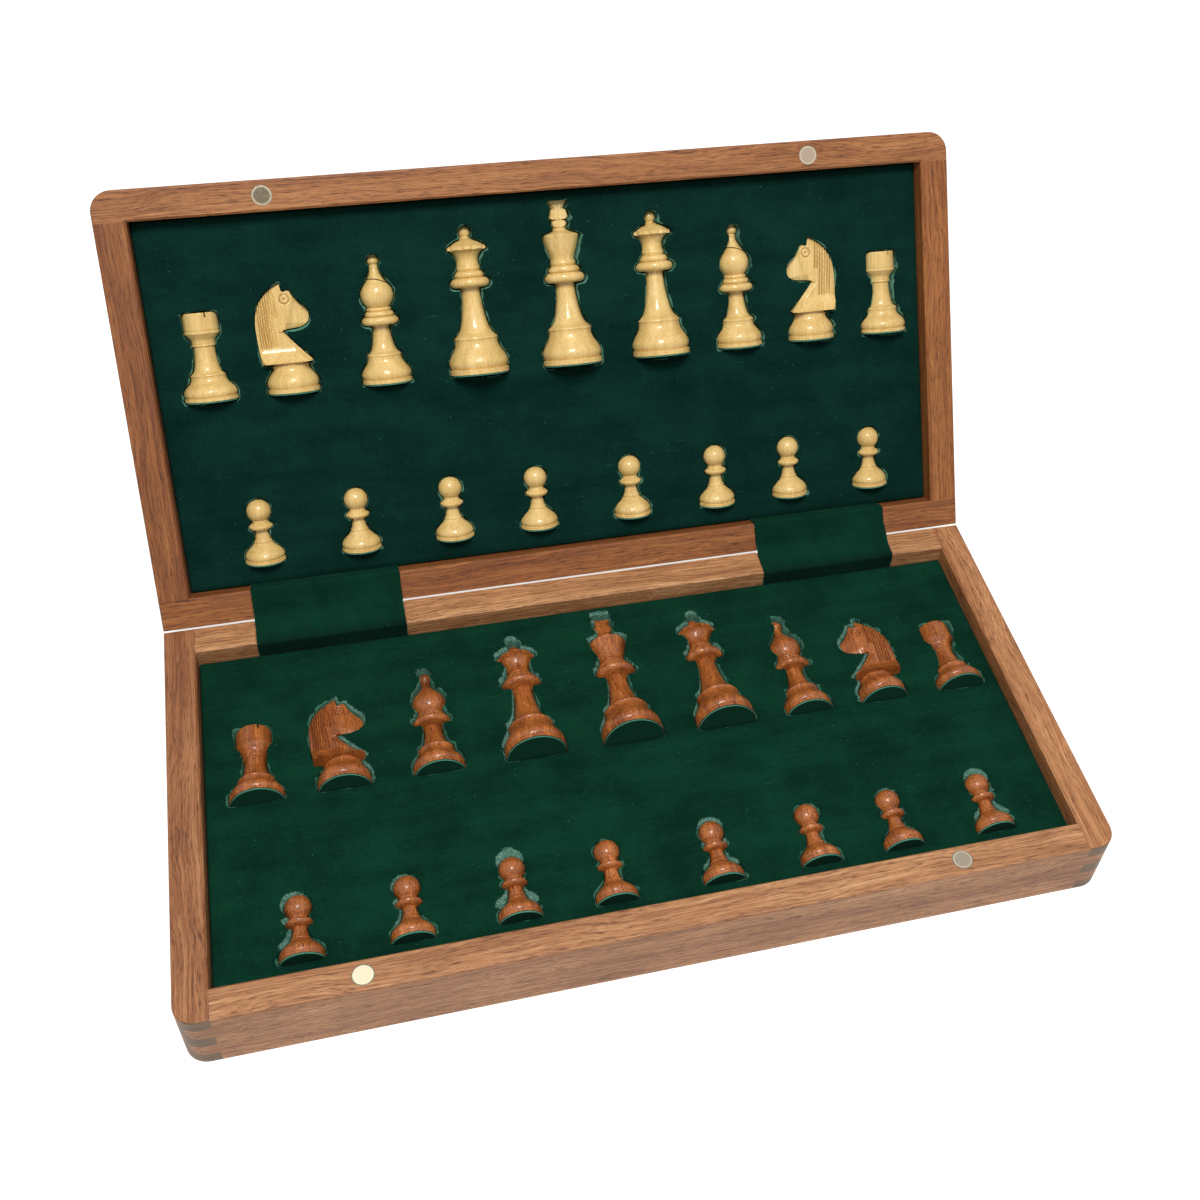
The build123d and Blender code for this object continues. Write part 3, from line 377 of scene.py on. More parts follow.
def rosewood(half, rail, turn, tint):
    """Oiled open-pored rosewood of one rail, its grain along X, or along Y with a quarter turn."""
    shader = Shader(f"{half}_{rail}_rosewood")
    point, facing = own_coordinates(shader, half, turn)
    seed = float(sum(map(ord, half + rail)) % 97)
    bands, streaks, hairs, pores = fibres(shader, point, seed)
    tone = shader.weigh((bands, 0.30), (streaks, 0.46), (hairs, 0.24))
    stops = ((0.37, srgb(108, 60, 32)), (0.45, srgb(144, 88, 52)), (0.53, srgb(172, 114, 73)),
             (0.63, srgb(202, 146, 102)))
    # the rail's multiplier holds painted light and shade besides its own tone
    side = shader.ramp(tone, *((place, tinted(colour, tint)) for place, colour in stops))
    figure = shader.noise(point, (0.035, 0.06, 0.06), 3, 0.6, seed)
    side = shader.mix(shader.range(figure, 0.35, 0.7, 0.0, 0.22), side, srgb(150, 92, 54), "MULTIPLY")
    side = shader.mix(shader.times(pores, 0.85), side, tinted(srgb(82, 46, 26), tint))
    # end grain: dull olive brown with fine dots
    across = shader.stretch(point, (0.05, 1, 1))
    dots = shader.range(shader.noise(across, 2.6, 2, 0.6, seed), 0.50, 0.66)
    rings = shader.noise(point, (0.01, 0.12, 0.6), 2, extra=seed)
    end = shader.ramp(rings, (0.35, srgb(96, 75, 50)), (0.60, srgb(124, 98, 72)))
    end = shader.mix(shader.times(dots, 0.45), end, srgb(72, 56, 38))
    parts = shader.add("SeparateXYZ", {0: facing})
    ending = shader.range(shader.math("ABSOLUTE", parts.outputs["X"]), 0.50, 0.80)
    colour = shader.mix(ending, side, end)
    height = shader.math("MULTIPLY_ADD", pores, -1.0, shader.times(hairs, 0.4))
    rough = shader.math("MULTIPLY_ADD", pores, 0.2, shader.range(streaks, 0.3, 0.7, 0.46, 0.58))
    return shader.finish({
        "Base Color": colour, "Roughness": rough, "Normal": shader.bump(height, 0.45, 0.12),
        "Specular IOR Level": 0.38, "Coat Weight": 0.05, "Coat Roughness": 0.35,
    })


def lacquered_wood(half, name, stops, pore_colour, groove_dirt_and_shade, pore_share, coat, relief):
    """Turned and polished wood of the men, its grain along their length, darker where 'cut' says that a
    tool went in: partly dirt, partly painted shade in the grooves and round the eye."""
    shader = Shader(name)
    point, _ = own_coordinates(shader, half, pi / 2)
    seed = shader.times(shader.add("ObjectInfo").outputs["Random"], 80)
    bands, streaks, hairs, pores = fibres(shader, shader.stretch(point, (1.5, 1.5, 1.5)), seed)
    speckle = shader.noise(point, 1.7, 3, 0.75, seed)
    tone = shader.weigh((bands, 0.30), (streaks, 0.32), (hairs, 0.16), (speckle, 0.22))
    colour = shader.ramp(tone, *stops)
    colour = shader.mix(shader.times(pores, pore_share), colour, pore_colour)
    cut = shader.add("Attribute", attribute_name="cut").outputs["Fac"]
    # partly dirt, partly painted shade in the carved grooves and round the eye
    colour = shader.mix(shader.times(cut, 0.7), colour, groove_dirt_and_shade)
    ripple = shader.noise(point, 0.45, 2, extra=seed)
    height = shader.weigh((ripple, 1.0), (pores, -relief), (hairs, 0.6 * relief), (speckle, 0.5 * relief))
    return shader.finish({
        "Base Color": colour, "Roughness": 0.42, "Normal": shader.bump(height, 0.45, 0.12),
        "Specular IOR Level": 0.32, "Coat Weight": coat, "Coat Roughness": 0.10, "Coat IOR": 1.5,
    })


def painted_shade_underside(half, name):
    """Painted shade: dark wood round the felt, under a man, standing in for the shadow on the foot's
    underside.
    """
    shader = Shader(name)
    point, _ = own_coordinates(shader, half)
    underside_shade_mottle = shader.noise(point, 1.2, 3, 0.6)
    return shader.finish({
        "Base Color": shader.ramp(underside_shade_mottle, (0.35, srgb(24, 14, 9)), (0.65, srgb(54, 32, 20))),
        "Roughness": 0.8, "Normal": shader.bump(underside_shade_mottle, 0.4, 0.1),
    })


def veneer(half, name, stops):
    """Satin veneer of the board on the outside."""
    shader = Shader(name)
    point, _ = own_coordinates(shader, half)
    seed = shader.times(shader.add("ObjectInfo").outputs["Random"], 40)
    bands, streaks, hairs, pores = fibres(shader, point, seed)
    tone = shader.weigh((bands, 0.45), (streaks, 0.4), (hairs, 0.15))
    colour = shader.ramp(tone, *stops)
    colour = shader.mix(shader.times(pores, 0.4), colour, stops[0][1])
    return shader.finish({
        "Base Color": colour, "Roughness": 0.38, "Normal": shader.bump(hairs, 0.2, 0.05),
        "Specular IOR Level": 0.25, "Coat Weight": 0.10, "Coat Roughness": 0.25,
    })


# ======== velvet and felt
def velvet(half, name, deep, lit, edge_colour, stretched=False):
    """Short-pile velvet with lint and brush marks. 'edge' is the way in millimetres from a cut edge, where
    a pale line shows, partly backing, partly painted highlight, and 'bare' how far inside a patch of bare
    foam. On a stretched strap 'along' is the place across and up it, in millimetres; its foot has painted
    shade."""
    shader = Shader(name)
    if stretched:
        point = shader.add("Attribute", attribute_name="along").outputs["Vector"]
        run = shader.add("SeparateXYZ", {0: point}).outputs["Y"]
        # painted shade: the strap's colour darkens towards its foot in the base, from just above its lower
        # fold
        shade = shader.range(run, STRAP_FOLD + SHADE_START, STRAP_FOLD + SHADE_FULL, 0.0, 0.75)
        deep = shader.mix(shade, deep, srgb(4, 20, 17))
        lit = shader.mix(shade, lit, srgb(8, 28, 25))
    else:
        point, _ = own_coordinates(shader, half)
    speckle = shader.noise(point, 2.3, 3, 0.7)
    cloud = shader.noise(point, 0.045, 3, 0.55)
    weave = shader.noise(point, (0.30, 2.4, 1), 2, 0.6)
    warp_threads = shader.noise(point, (2.2, 0.10, 1), 2, 0.6)
    brushed = shader.noise(point, (0.02, 0.11, 0.08), 3, 0.6)
    tone = shader.weigh((cloud, 0.26), (speckle, 0.28), (brushed, 0.20), (weave, 0.18),
                        (warp_threads, 0.08))
    colour = shader.mix(shader.range(tone, 0.41, 0.59), deep, lit)
    # light rubs from men that were dragged over the pile, and lint
    rubs = shader.range(shader.noise(point, (0.07, 1.3, 0.6), 3, 0.7), 0.62, 0.80)
    rubbed = shader.range(shader.noise(point, 0.022, 2), 0.50, 0.68)
    colour = shader.mix(shader.times(shader.times(rubs, rubbed), 0.45), colour,
                        srgb(58, 104, 84))
    lint = shader.add("TexVoronoi", {"Vector": shader.stretch(point, (0.30, 0.42, 0.3)), "Scale": 1.0})
    rare = shader.add("SeparateColor", {0: lint.outputs["Color"]})
    specks = shader.times(shader.range(lint.outputs["Distance"], 0.10, 0.035),
                         shader.range(rare.outputs[0], 0.82, 0.86))
    colour = shader.mix(shader.times(specks, 0.5), colour, srgb(84, 136, 116))
    # cut edges: a pale line, partly the velvet's backing and partly painted highlight on the edge
    edge = shader.add("Attribute", attribute_name="edge").outputs["Fac"]
    bare = shader.add("Attribute", attribute_name="bare").outputs["Fac"]
    width = shader.range(shader.noise(point, 0.16, 2, 0.6), 0.42, 0.66, -0.30, 0.26)
    width = shader.math("MULTIPLY_ADD", shader.noise(point, 1.6, 3, 0.7), 0.24, width)
    line = shader.range(shader.math("SUBTRACT", edge, width), 0.14, -0.06)
    line = shader.times(line, shader.range(edge, -0.7, -0.15))
    colour = shader.mix(shader.times(line, 0.6), colour, edge_colour)
    ragged = shader.math("MULTIPLY_ADD", shader.noise(point, 0.9, 3, 0.7), -1.1, bare)
    patch = shader.times(shader.range(ragged, -0.30, 0.25), shader.range(edge, -0.35, 0.0))
    cells = shader.noise(point, 1.55, 4, 0.8)
    foam = shader.ramp(cells, (0.38, srgb(34, 80, 66)), (0.50, srgb(72, 110, 97)),
                       (0.62, srgb(120, 152, 140)))
    colour = shader.mix(patch, colour, foam)
    height = shader.weigh((weave, 0.5), (speckle, 0.7), (shader.times(cells, patch), 1.5))
    return shader.finish({
        "Base Color": colour, "Roughness": 0.95, "Specular IOR Level": 0.05,
        "Sheen Weight": 0.05, "Sheen Roughness": 0.4, "Sheen Tint": srgb(90, 190, 150),
        "Normal": shader.bump(height, 0.5, 0.25),
    })


def felt(half, name):
    """Green felt under the men, paler at its cut edge: partly the cut felt's own colour, partly painted
    highlight.
    """
    shader = Shader(name)
    point, facing = own_coordinates(shader, half)
    fuzz = shader.noise(point, 2.4, 4, 0.7)
    parts = shader.add("SeparateXYZ", {0: facing})
    cut = shader.range(shader.math("ABSOLUTE", parts.outputs["Y"]), 0.85, 0.6)
    face = shader.ramp(fuzz, (0.3, srgb(5, 40, 29)), (0.7, srgb(15, 58, 43)))
    # the pale cut edge is partly the felt's own colour, partly painted highlight
    edge = shader.ramp(fuzz, (0.3, srgb(40, 98, 80)), (0.7, srgb(92, 150, 130)))
    return shader.finish({
        "Base Color": shader.mix(cut, face, edge), "Roughness": 0.95, "Specular IOR Level": 0.05,
        "Sheen Weight": 0.06, "Sheen Tint": srgb(120, 190, 160), "Normal": shader.bump(fuzz, 0.6, 0.2),
    })


# ======== metal
def metal(half, name, colour, dull):
    """Turned, worn metal with fine scratches."""
    shader = Shader(name)
    point, _ = own_coordinates(shader, half)
    stains = shader.noise(point, 0.5, 3, 0.6)
    scratches = shader.noise(shader.stretch(point, (0.4, 6, 1)), 2, 3, 0.7)
    tone = shader.weigh((stains, 0.5), (scratches, 0.5))
    return shader.finish({
        "Base Color": shader.ramp(tone, (0.35, dull), (0.6, colour)), "Metallic": 1.0,
        "Roughness": shader.range(tone, 0.3, 0.7, 0.22, 0.42),
        "Normal": shader.bump(scratches, 0.15, 0.03),
    })


def magnet(half, low_x, high_x, ring_colour):
    """Nickel-plated discs in the front rim, coloured differently on the low and the high side of X, each
    with a thin ring at its edge."""
    shader = Shader(f"{half}_nickel")
    point, _ = own_coordinates(shader, half)
    low, high = own_box(f"{half}_magnets")
    radius = (high[1] - low[1]) / 2
    parts = shader.add("SeparateXYZ", {0: point})
    across = shader.math("SUBTRACT", shader.math("ABSOLUTE", parts.outputs["X"]), high[0] - radius)
    along = shader.math("SUBTRACT", parts.outputs["Y"], low[1] + radius)
    away = shader.add("CombineXYZ", {"X": across, "Y": along}).outputs[0]
    away = shader.add("VectorMath", {0: away}, operation="LENGTH").outputs["Value"]
    stains = shader.noise(point, 0.7, 3, 0.6)
    scratches = shader.noise(point, (0.8, 7, 1), 3, 0.7)
    colour = shader.mix(shader.range(parts.outputs["X"], -1, 1), low_x, high_x)
    dull = shader.range(shader.math("MULTIPLY_ADD", scratches, 0.4, stains), 0.45, 0.95, 0.0, 0.35)
    colour = shader.mix(dull, colour, srgb(120, 116, 104))
    rim = shader.range(away, radius - 1.0, radius - 0.6)
    colour = shader.mix(shader.times(rim, 0.35), colour, srgb(250, 236, 206))
    ring = shader.range(away, radius - 0.42, radius - 0.22)
    return shader.finish({
        "Base Color": shader.mix(ring, colour, ring_colour), "Metallic": 1.0,
        "Roughness": shader.range(stains, 0.3, 0.7, 0.26, 0.42),
        "Normal": shader.bump(scratches, 0.12, 0.03),
    })


# ======== materials of the CAD nodes
# each rail's colour multiplier: partly its own tone and hue, partly painted light and shade, mostly lighter
# on the base's rails and darker on the lid's
RAIL_TONE_AND_SHADE = {
    ("base", "front_rail"): (1.12, 1.32, 1.46), ("base", "rear_rail"): (1.20, 1.46, 1.58),
    ("base", "left_rail"): (0.80, 0.80, 0.78), ("base", "right_rail"): (1.08, 1.16, 1.14),
    ("lid", "front_rail"): (0.88, 0.88, 0.74), ("lid", "rear_rail"): (0.70, 0.60, 0.40),
    ("lid", "left_rail"): (0.76, 0.66, 0.42), ("lid", "right_rail"): (0.68, 0.60, 0.44),
}
board_tones = {
    "panel": ((0.3, srgb(96, 56, 32)), (0.5, srgb(132, 84, 52)), (0.7, srgb(156, 106, 70))),
    "light_squares": ((0.3, srgb(196, 158, 108)), (0.5, srgb(218, 184, 134)), (0.7, srgb(232, 204, 158))),
    "dark_squares": ((0.3, srgb(62, 34, 20)), (0.5, srgb(92, 54, 32)), (0.7, srgb(118, 74, 46))),
}
light_tones = ((0.38, srgb(190, 150, 82)), (0.5, srgb(214, 180, 111)), (0.62, srgb(236, 207, 144)))
dark_tones = ((0.37, srgb(80, 36, 12)), (0.45, srgb(132, 69, 26)), (0.53, srgb(170, 95, 40)),
              (0.64, srgb(212, 140, 74)))
men_wood = {
    "light": lacquered_wood("lid", "boxwood", light_tones, pore_colour=srgb(184, 142, 80),
                            groove_dirt_and_shade=srgb(132, 86, 34), pore_share=0.18, coat=0.45, relief=0.35),
    "dark": lacquered_wood("base", "red_rosewood", dark_tones, pore_colour=srgb(56, 24, 10),
                           groove_dirt_and_shade=srgb(36, 14, 6), pore_share=0.85, coat=0.30, relief=1.3),
}
men_felt = {"light": felt("lid", "lid_felt"), "dark": felt("base", "base_felt")}
men_shaded_underside = {"light": painted_shade_underside("lid", "lid_underside"),
                 "dark": painted_shade_underside("base", "base_underside")}
brass = {half: metal(half, f"{half}_brass", srgb(196, 160, 92), srgb(150, 112, 58))
         for half in half_matrix}
nickel = {
    "base": magnet("base", srgb(250, 238, 204), srgb(172, 158, 140), srgb(128, 136, 124)),
    "lid": magnet("lid", srgb(184, 164, 144), srgb(112, 102, 82), srgb(150, 140, 120)),
}


def wear(node, *materials):
    """Put materials in a CAD node's slots."""
    slots = frame["nodes"][node].data.materials
    slots.clear()
    for material in materials:
        slots.append(material)


for (half, rail), tint in RAIL_TONE_AND_SHADE.items():
    turn = pi / 2 if rail in ("left_rail", "right_rail") else 0
    wear(f"{half}_{rail}", rosewood(half, rail, turn, tint))
for half in half_matrix:
    for piece, tones in board_tones.items():
        wear(f"{half}_{piece}", veneer(half, f"{half}_{piece}", tones))
    wear(f"{half}_magnets", nickel[half])
    wear(f"{half}_hinge_leaves", brass[half])
    wear(f"{half}_hinge_screws", brass[half])
wear("hinge_pins", brass["base"])


# ======== the men
men = sorted(node for node in half_of if node.split("_")[0] in ("light", "dark") and "squares" not in node)


def face_normals(points, triangles):
    """Each triangle's unit normal, and twice its area."""
    corners = points[triangles]
    normals = np.cross(corners[:, 1] - corners[:, 0], corners[:, 2] - corners[:, 0])
    areas = np.linalg.norm(normals, axis=1)
    return normals / np.maximum(areas, 1e-12)[:, None], areas


def foot_normal(node, points, polygons):
    """Direction out of the flat of a man's foot, and each face's normal."""
    towards_foot = -1.0 if node.startswith("dark") else 1.0
    normals, areas = face_normals(points, polygons)
    areas[normals[:, 1] * towards_foot < FOOT_FACING] = 0
    return normals[areas.argmax()], normals


def foot_slots(depth, facing_down):
    """Material slots from how far a face reaches above the foot's flat and how squarely it faces down."""
    slots = np.zeros(len(depth), np.int32)
    # slot 2 takes the painted shade on the wood's flat underside round the felt
    slots[(depth < UNDERSIDE_DEPTH) & (facing_down > DOWN_FACING)] = 2
    slots[depth < FELT_DEPTH] = 1
    return slots


def triangles_of(mesh):
    """Corner indices of a mesh that has only triangles."""
    corners = np.empty(3 * len(mesh.polygons), np.int32)
    mesh.polygons.foreach_get("vertices", corners)
    return corners.reshape(-1, 3)


man_shapes = {}
man_frames = {}            # middle of the foot and the direction up along the man
for node in men:
    mesh = frame["nodes"][node].data
    points, polygons = node_points(node), triangles_of(mesh)
    man_shapes[node] = (points, polygons)
    colour = node.split("_")[0]
    wear(node, men_wood[colour], men_felt[colour], men_shaded_underside[colour])
    out_of_foot, normals = foot_normal(node, points, polygons)
    depth = (points @ out_of_foot).max() - points @ out_of_foot
    foot = points[depth < FLAT_DEPTH]
    man_frames[node] = (foot.min(0) + foot.max(0)) / 2, -out_of_foot
    slots = foot_slots(depth[polygons].max(axis=1), normals @ out_of_foot)
    mesh.polygons.foreach_set("material_index", slots)


# ======== new meshes
def new_object(name, data):
    """An object in the scene for a mesh, a lamp or a camera."""
    made = bpy.data.objects.new(name, data)
    bpy.context.scene.collection.objects.link(made)
    return made


def new_piece(name, vertices, faces, matrix, material, fields, uv=None):
    """A smooth mesh from vertices in millimetres in a half's own frame, with its vertex fields and,
    where it has them, the texture place of each vertex."""
    turn = np.array(matrix)
    placed = vertices * MM @ turn[:3, :3].T + turn[:3, 3]
    mesh = bpy.data.meshes.new(name)
    mesh.from_pydata(placed.tolist(), [], faces)
    for key, values in fields.items():
        kind, part = ("FLOAT", "value") if values.ndim == 1 else ("FLOAT_VECTOR", "vector")
        layer = mesh.attributes.new(key, kind, "POINT")
        layer.data.foreach_set(part, values.astype(np.float32).ravel())
    if uv is not None:
        corners = np.empty(len(mesh.loops), np.int32)
        mesh.loops.foreach_get("vertex_index", corners)
        mesh.uv_layers.new(name="OFBake").data.foreach_set("uv", uv[corners].astype(np.float32).ravel())
    mesh.polygons.foreach_set("use_smooth", np.ones(len(mesh.polygons), bool))
    mesh.materials.append(material)
    return new_object(name, mesh)


def grid_faces(index):
    """Quads between the vertices of a grid of indices."""
    corners = [index[:-1, :-1], index[:-1, 1:], index[1:, 1:], index[1:, :-1]]
    return np.stack(corners, -1).reshape(-1, 4)


def grid_border(index):
    """Indices round a grid's border, in order."""
    return np.concatenate([index[0, :-1], index[:-1, -1], index[-1, :0:-1], index[:0:-1, 0]])


def wall_faces(upper, lower):
    """Quads between two closed rows of vertices."""
    return np.stack([upper, lower, np.roll(lower, -1), np.roll(upper, -1)], 1)


# ======== carved knights
def knight_axes(node):
    """A knight's own frame in its half: the middle of its foot, and as rows its axes towards the nose,
    up and out of one side."""
    middle, up = man_frames[node]
    faces_right = node.endswith("left")
    nose = np.array([1.0 if faces_right == (half_of[node] == "base") else -1.0, 0, 0])
    nose -= up * (nose @ up)
    return middle, np.stack([nose, up, np.cross(nose, up)])


def cut_level(node, level, keep_above):
    """A knight's CAD shape in its own frame, cut level and closed, above or below the cut."""
    middle, axes = knight_axes(node)
    points, polygons = man_shapes[node]
    shape = bmesh.new()
    corners = [shape.verts.new(point) for point in (points - middle) @ axes.T]
    for polygon in polygons:
        shape.faces.new([corners[number] for number in polygon])
    bmesh.ops.remove_doubles(shape, verts=shape.verts, dist=0.002)
    geometry = shape.verts[:] + shape.edges[:] + shape.faces[:]
    cut = bmesh.ops.bisect_plane(shape, geom=geometry, plane_co=(0, level, 0), plane_no=(0, 1, 0),
                                 clear_inner=keep_above, clear_outer=not keep_above)["geom_cut"]
    bmesh.ops.triangle_fill(shape, edges=[part for part in cut if isinstance(part, bmesh.types.BMEdge)])
    bmesh.ops.recalc_face_normals(shape, faces=shape.faces)
    mesh = bpy.data.meshes.new("part_of_knight")
    shape.to_mesh(mesh)
    shape.free()
    return mesh


def fine_mesh(mesh):
    """The same shape as small even quads."""
    rough = new_object("rough", mesh)
    remesh = rough.modifiers.new("even", "REMESH")
    remesh.mode, remesh.voxel_size = "VOXEL", KNIGHT_VOXEL
    smooth = rough.modifiers.new("smooth", "SMOOTH")
    smooth.factor, smooth.iterations = 0.5, 2
    evaluated = rough.evaluated_get(bpy.context.evaluated_depsgraph_get())
    made = bpy.data.meshes.new_from_object(evaluated)
    bpy.data.objects.remove(rough)
    return made


def mesh_arrays(mesh):
    """A mesh's vertices as an array, and its faces as lists of indices."""
    points = np.empty(3 * len(mesh.vertices))
    mesh.vertices.foreach_get("co", points)
    return points.reshape(-1, 3), [list(face.vertices) for face in mesh.polygons]


def ramp_up(value, low, high):
    """0 below low, 1 above high, and smooth between."""
    share = np.clip((value - low) / (high - low), 0, 1)
    return share * share * (3 - 2 * share)


def beyond(nose, up, place, normal):
    """How far points lie past a slanting line through a place, along its normal."""
    return (nose - place[0]) * normal[0] + (up - place[1]) * normal[1]


def carve(points, long_grooves):
    """Carve a knight's head, given in its own frame. Returns the points and how deep a tool went in."""
    nose, up, side = points.T.copy()
    widest = np.interp(up, HEAD_UP, HEAD_HALF_WIDTH)
    widest -= np.where(up > THIN_UP, np.clip(nose - THIN_FROM, 0, None) * THINNING, 0)
    # muzzle: hollowed in front of a slanting ridge, its jaw pared away below
    from_ridge = beyond(nose, up, RIDGE, RIDGE_NORMAL)
    muzzle = MUZZLE_DEPTH * ramp_up(from_ridge, 0, 2.6) * ramp_up(up, 24.4, 25.4)
    jaw = JAW_PARED * np.clip(29.0 - 0.10 * nose - up, 0, 3)
    jaw *= ramp_up(nose, -0.4, 0.9) * ramp_up(up, 24.0, 25.2)
    # the throat and breast have a slanting front edge, the mane a rounded one
    from_front = beyond(nose, up, BREAST, BREAST_NORMAL)
    breast = BREAST_PARED * np.clip(2.0 - from_front, 0, 3) * ramp_up(THROAT_UP - up, 0, 0.8)
    back = np.interp(up, BACK_UP, BACK)
    mane = MANE_PARED * np.clip(1.3 - (nose - back), 0, 1.3) * ramp_up(up, 16, 20)
    cut = np.zeros(len(points))
    for number in range(GROOVES):
        if long_grooves:
            line, foot = LONG_FIRST - LONG_STEP * number, LONG_FOOT
            shown = ramp_up(back + LONG_FADE_STEP * number - nose, *LONG_FADE)
        else:
            line = SHORT_FIRST - SHORT_STEP * number + SHORT_LEAN * (FRONT_FOOT - up)
            foot = FRONT_FOOT if number < FRONT_SHORT else SHORT_FOOT
            shown = 1
        groove = np.clip(1 - np.abs(nose - line) / GROOVE_HALF_WIDTH, 0, 1)
        cut = np.maximum(cut, groove * ramp_up(up, foot - 0.2, foot + 0.5) * shown)
    from_eye = np.hypot(nose - EYE[0], up - EYE[1])
    ring = np.clip(1 - np.abs(from_eye - EYE_RADIUS) / EYE_LINE, 0, 1)
    pupil = np.clip(1 - from_eye / PUPIL_RADIUS, 0, 1)
    cut = np.maximum.reduce([cut, 0.8 * ring, pupil])
    depth = muzzle + jaw + breast + mane + GROOVE_DEPTH * cut
    limit = np.maximum(widest - depth, HEAD_LEAST_WIDTH)
    points = np.stack([nose, up, np.sign(side) * np.minimum(np.abs(side), limit)], 1)
    return points, cut * ramp_up(np.abs(side), 2.0, 3.0)


def make_knight(node):
    """A knight with a carved head on the foot of its CAD shape."""
    middle, axes = knight_axes(node)
    colour = node.split("_")[0]
    head, head_faces = mesh_arrays(fine_mesh(cut_level(node, KNIGHT_NECK - KNIGHT_OVERLAP, True)))
    foot, foot_faces = mesh_arrays(cut_level(node, KNIGHT_NECK + KNIGHT_OVERLAP, False))
    head, cut = carve(head, node.endswith("left"))
    faces = head_faces + [[number + len(head) for number in face] for face in foot_faces]
    points = np.concatenate([head, foot])
    piece = new_piece(f"{node}_carved", points @ axes + middle, faces, half_matrix[half_of[node]],
                      men_wood[colour], {"cut": np.concatenate([cut, np.zeros(len(foot))])})
    for material in (men_felt[colour], men_shaded_underside[colour]):
        piece.data.materials.append(material)
    slots = np.zeros(len(faces), np.int32)
    reach = np.array([foot[face, 1].max() for face in foot_faces])
    normals, _ = face_normals(foot, [face[:3] for face in foot_faces])
    slots[len(head_faces):] = foot_slots(reach, -normals[:, 1])
    piece.data.polygons.foreach_set("material_index", slots)
    piece.data.set_sharp_from_angle(angle=radians(35))
    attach(piece, node)
    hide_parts(node)


for node in men:
    if "knight" in node:
        make_knight(node)


# ======== velvet inserts
def lines(low, high, fine_ranges):
    """Grid lines from low to high, close together inside the given ranges."""
    found, at = [low], low
    while at < high:
        near = any(start - GRID_COARSE < at < end for start, end in fine_ranges)
        at += GRID_STEP if near else GRID_COARSE
        found.append(min(at, high))
    if found[-1] - found[-2] < SHORTEST_STEP * GRID_STEP:
        found.pop(-2)
    return np.array(found)


def outline_of(points, polygons):
    """A man's outline in plan: the raster's places along X and Y, and which cells it covers."""
    tree = BVHTree.FromPolygons(points.tolist(), polygons.tolist())
    low, high = points.min(0), points.max(0)
    across = np.arange(low[0] - 0.5, high[0] + 0.5, OUTLINE_STEP)
    along = np.arange(low[1] - 0.5, high[1] + 0.5, OUTLINE_STEP)
    down = Vector((0, 0, -1))
    covered = [tree.ray_cast(Vector((x, y, high[2] + 1)), down)[0] is not None
               for y in along for x in across]
    return across, along, np.reshape(covered, (len(along), len(across)))


def recut(outline, right, past_head, wider):
    """An outline that was cut too wide: moved, and stretched across."""
    across, along, covered = outline
    middle, half_width = across.mean(), (across[-1] - across[0]) / 2
    return middle + right + (across - middle) * (1 + wider / half_width), along + past_head, covered


def rim_cells(covered):
    """Covered cells that touch one that isn't."""
    padded = np.pad(covered, 1)
    buried = padded[:-2, 1:-1] & padded[2:, 1:-1] & padded[1:-1, :-2] & padded[1:-1, 2:]
    return covered & ~buried


def signed_distance(plan, outlines):
    """Distance in plan from the nearest outline, negative inside it, with that outline's number."""
    rims, owners = [], []
    for number, (across, along, covered) in enumerate(outlines):
        rows, columns = np.nonzero(rim_cells(covered))
        rims.append(np.stack([across[columns], along[rows], np.zeros(len(rows))], 1))
        owners.append(np.full(len(rows), number))
    rims, owners = np.concatenate(rims), np.concatenate(owners)
    tree = KDTree(len(rims))
    for number, point in enumerate(rims):
        tree.insert(point, number)
    tree.balance()
    found = [tree.find((x, y, 0))[1:] for x, y in plan]
    nearest = np.array([number for number, _ in found])
    distance = np.array([away for _, away in found])
    for across, along, covered in outlines:
        column = np.round((plan[:, 0] - across[0]) / (across[1] - across[0])).astype(int)
        row = np.round((plan[:, 1] - along[0]) / OUTLINE_STEP).astype(int)
        held = (column >= 0) & (column < len(across)) & (row >= 0) & (row < len(along))
        within = np.zeros(len(plan), bool)
        within[held] = covered[row[held], column[held]]
        distance[within] = -np.abs(distance[within])
    return distance - OUTLINE_STEP / 2, owners[nearest]


def slow_noise(plan, scale, seed):
    """Smooth noise over the plan, about -1 to 1."""
    return np.array([noise.noise((x * scale, y * scale, seed)) for x, y in plan])


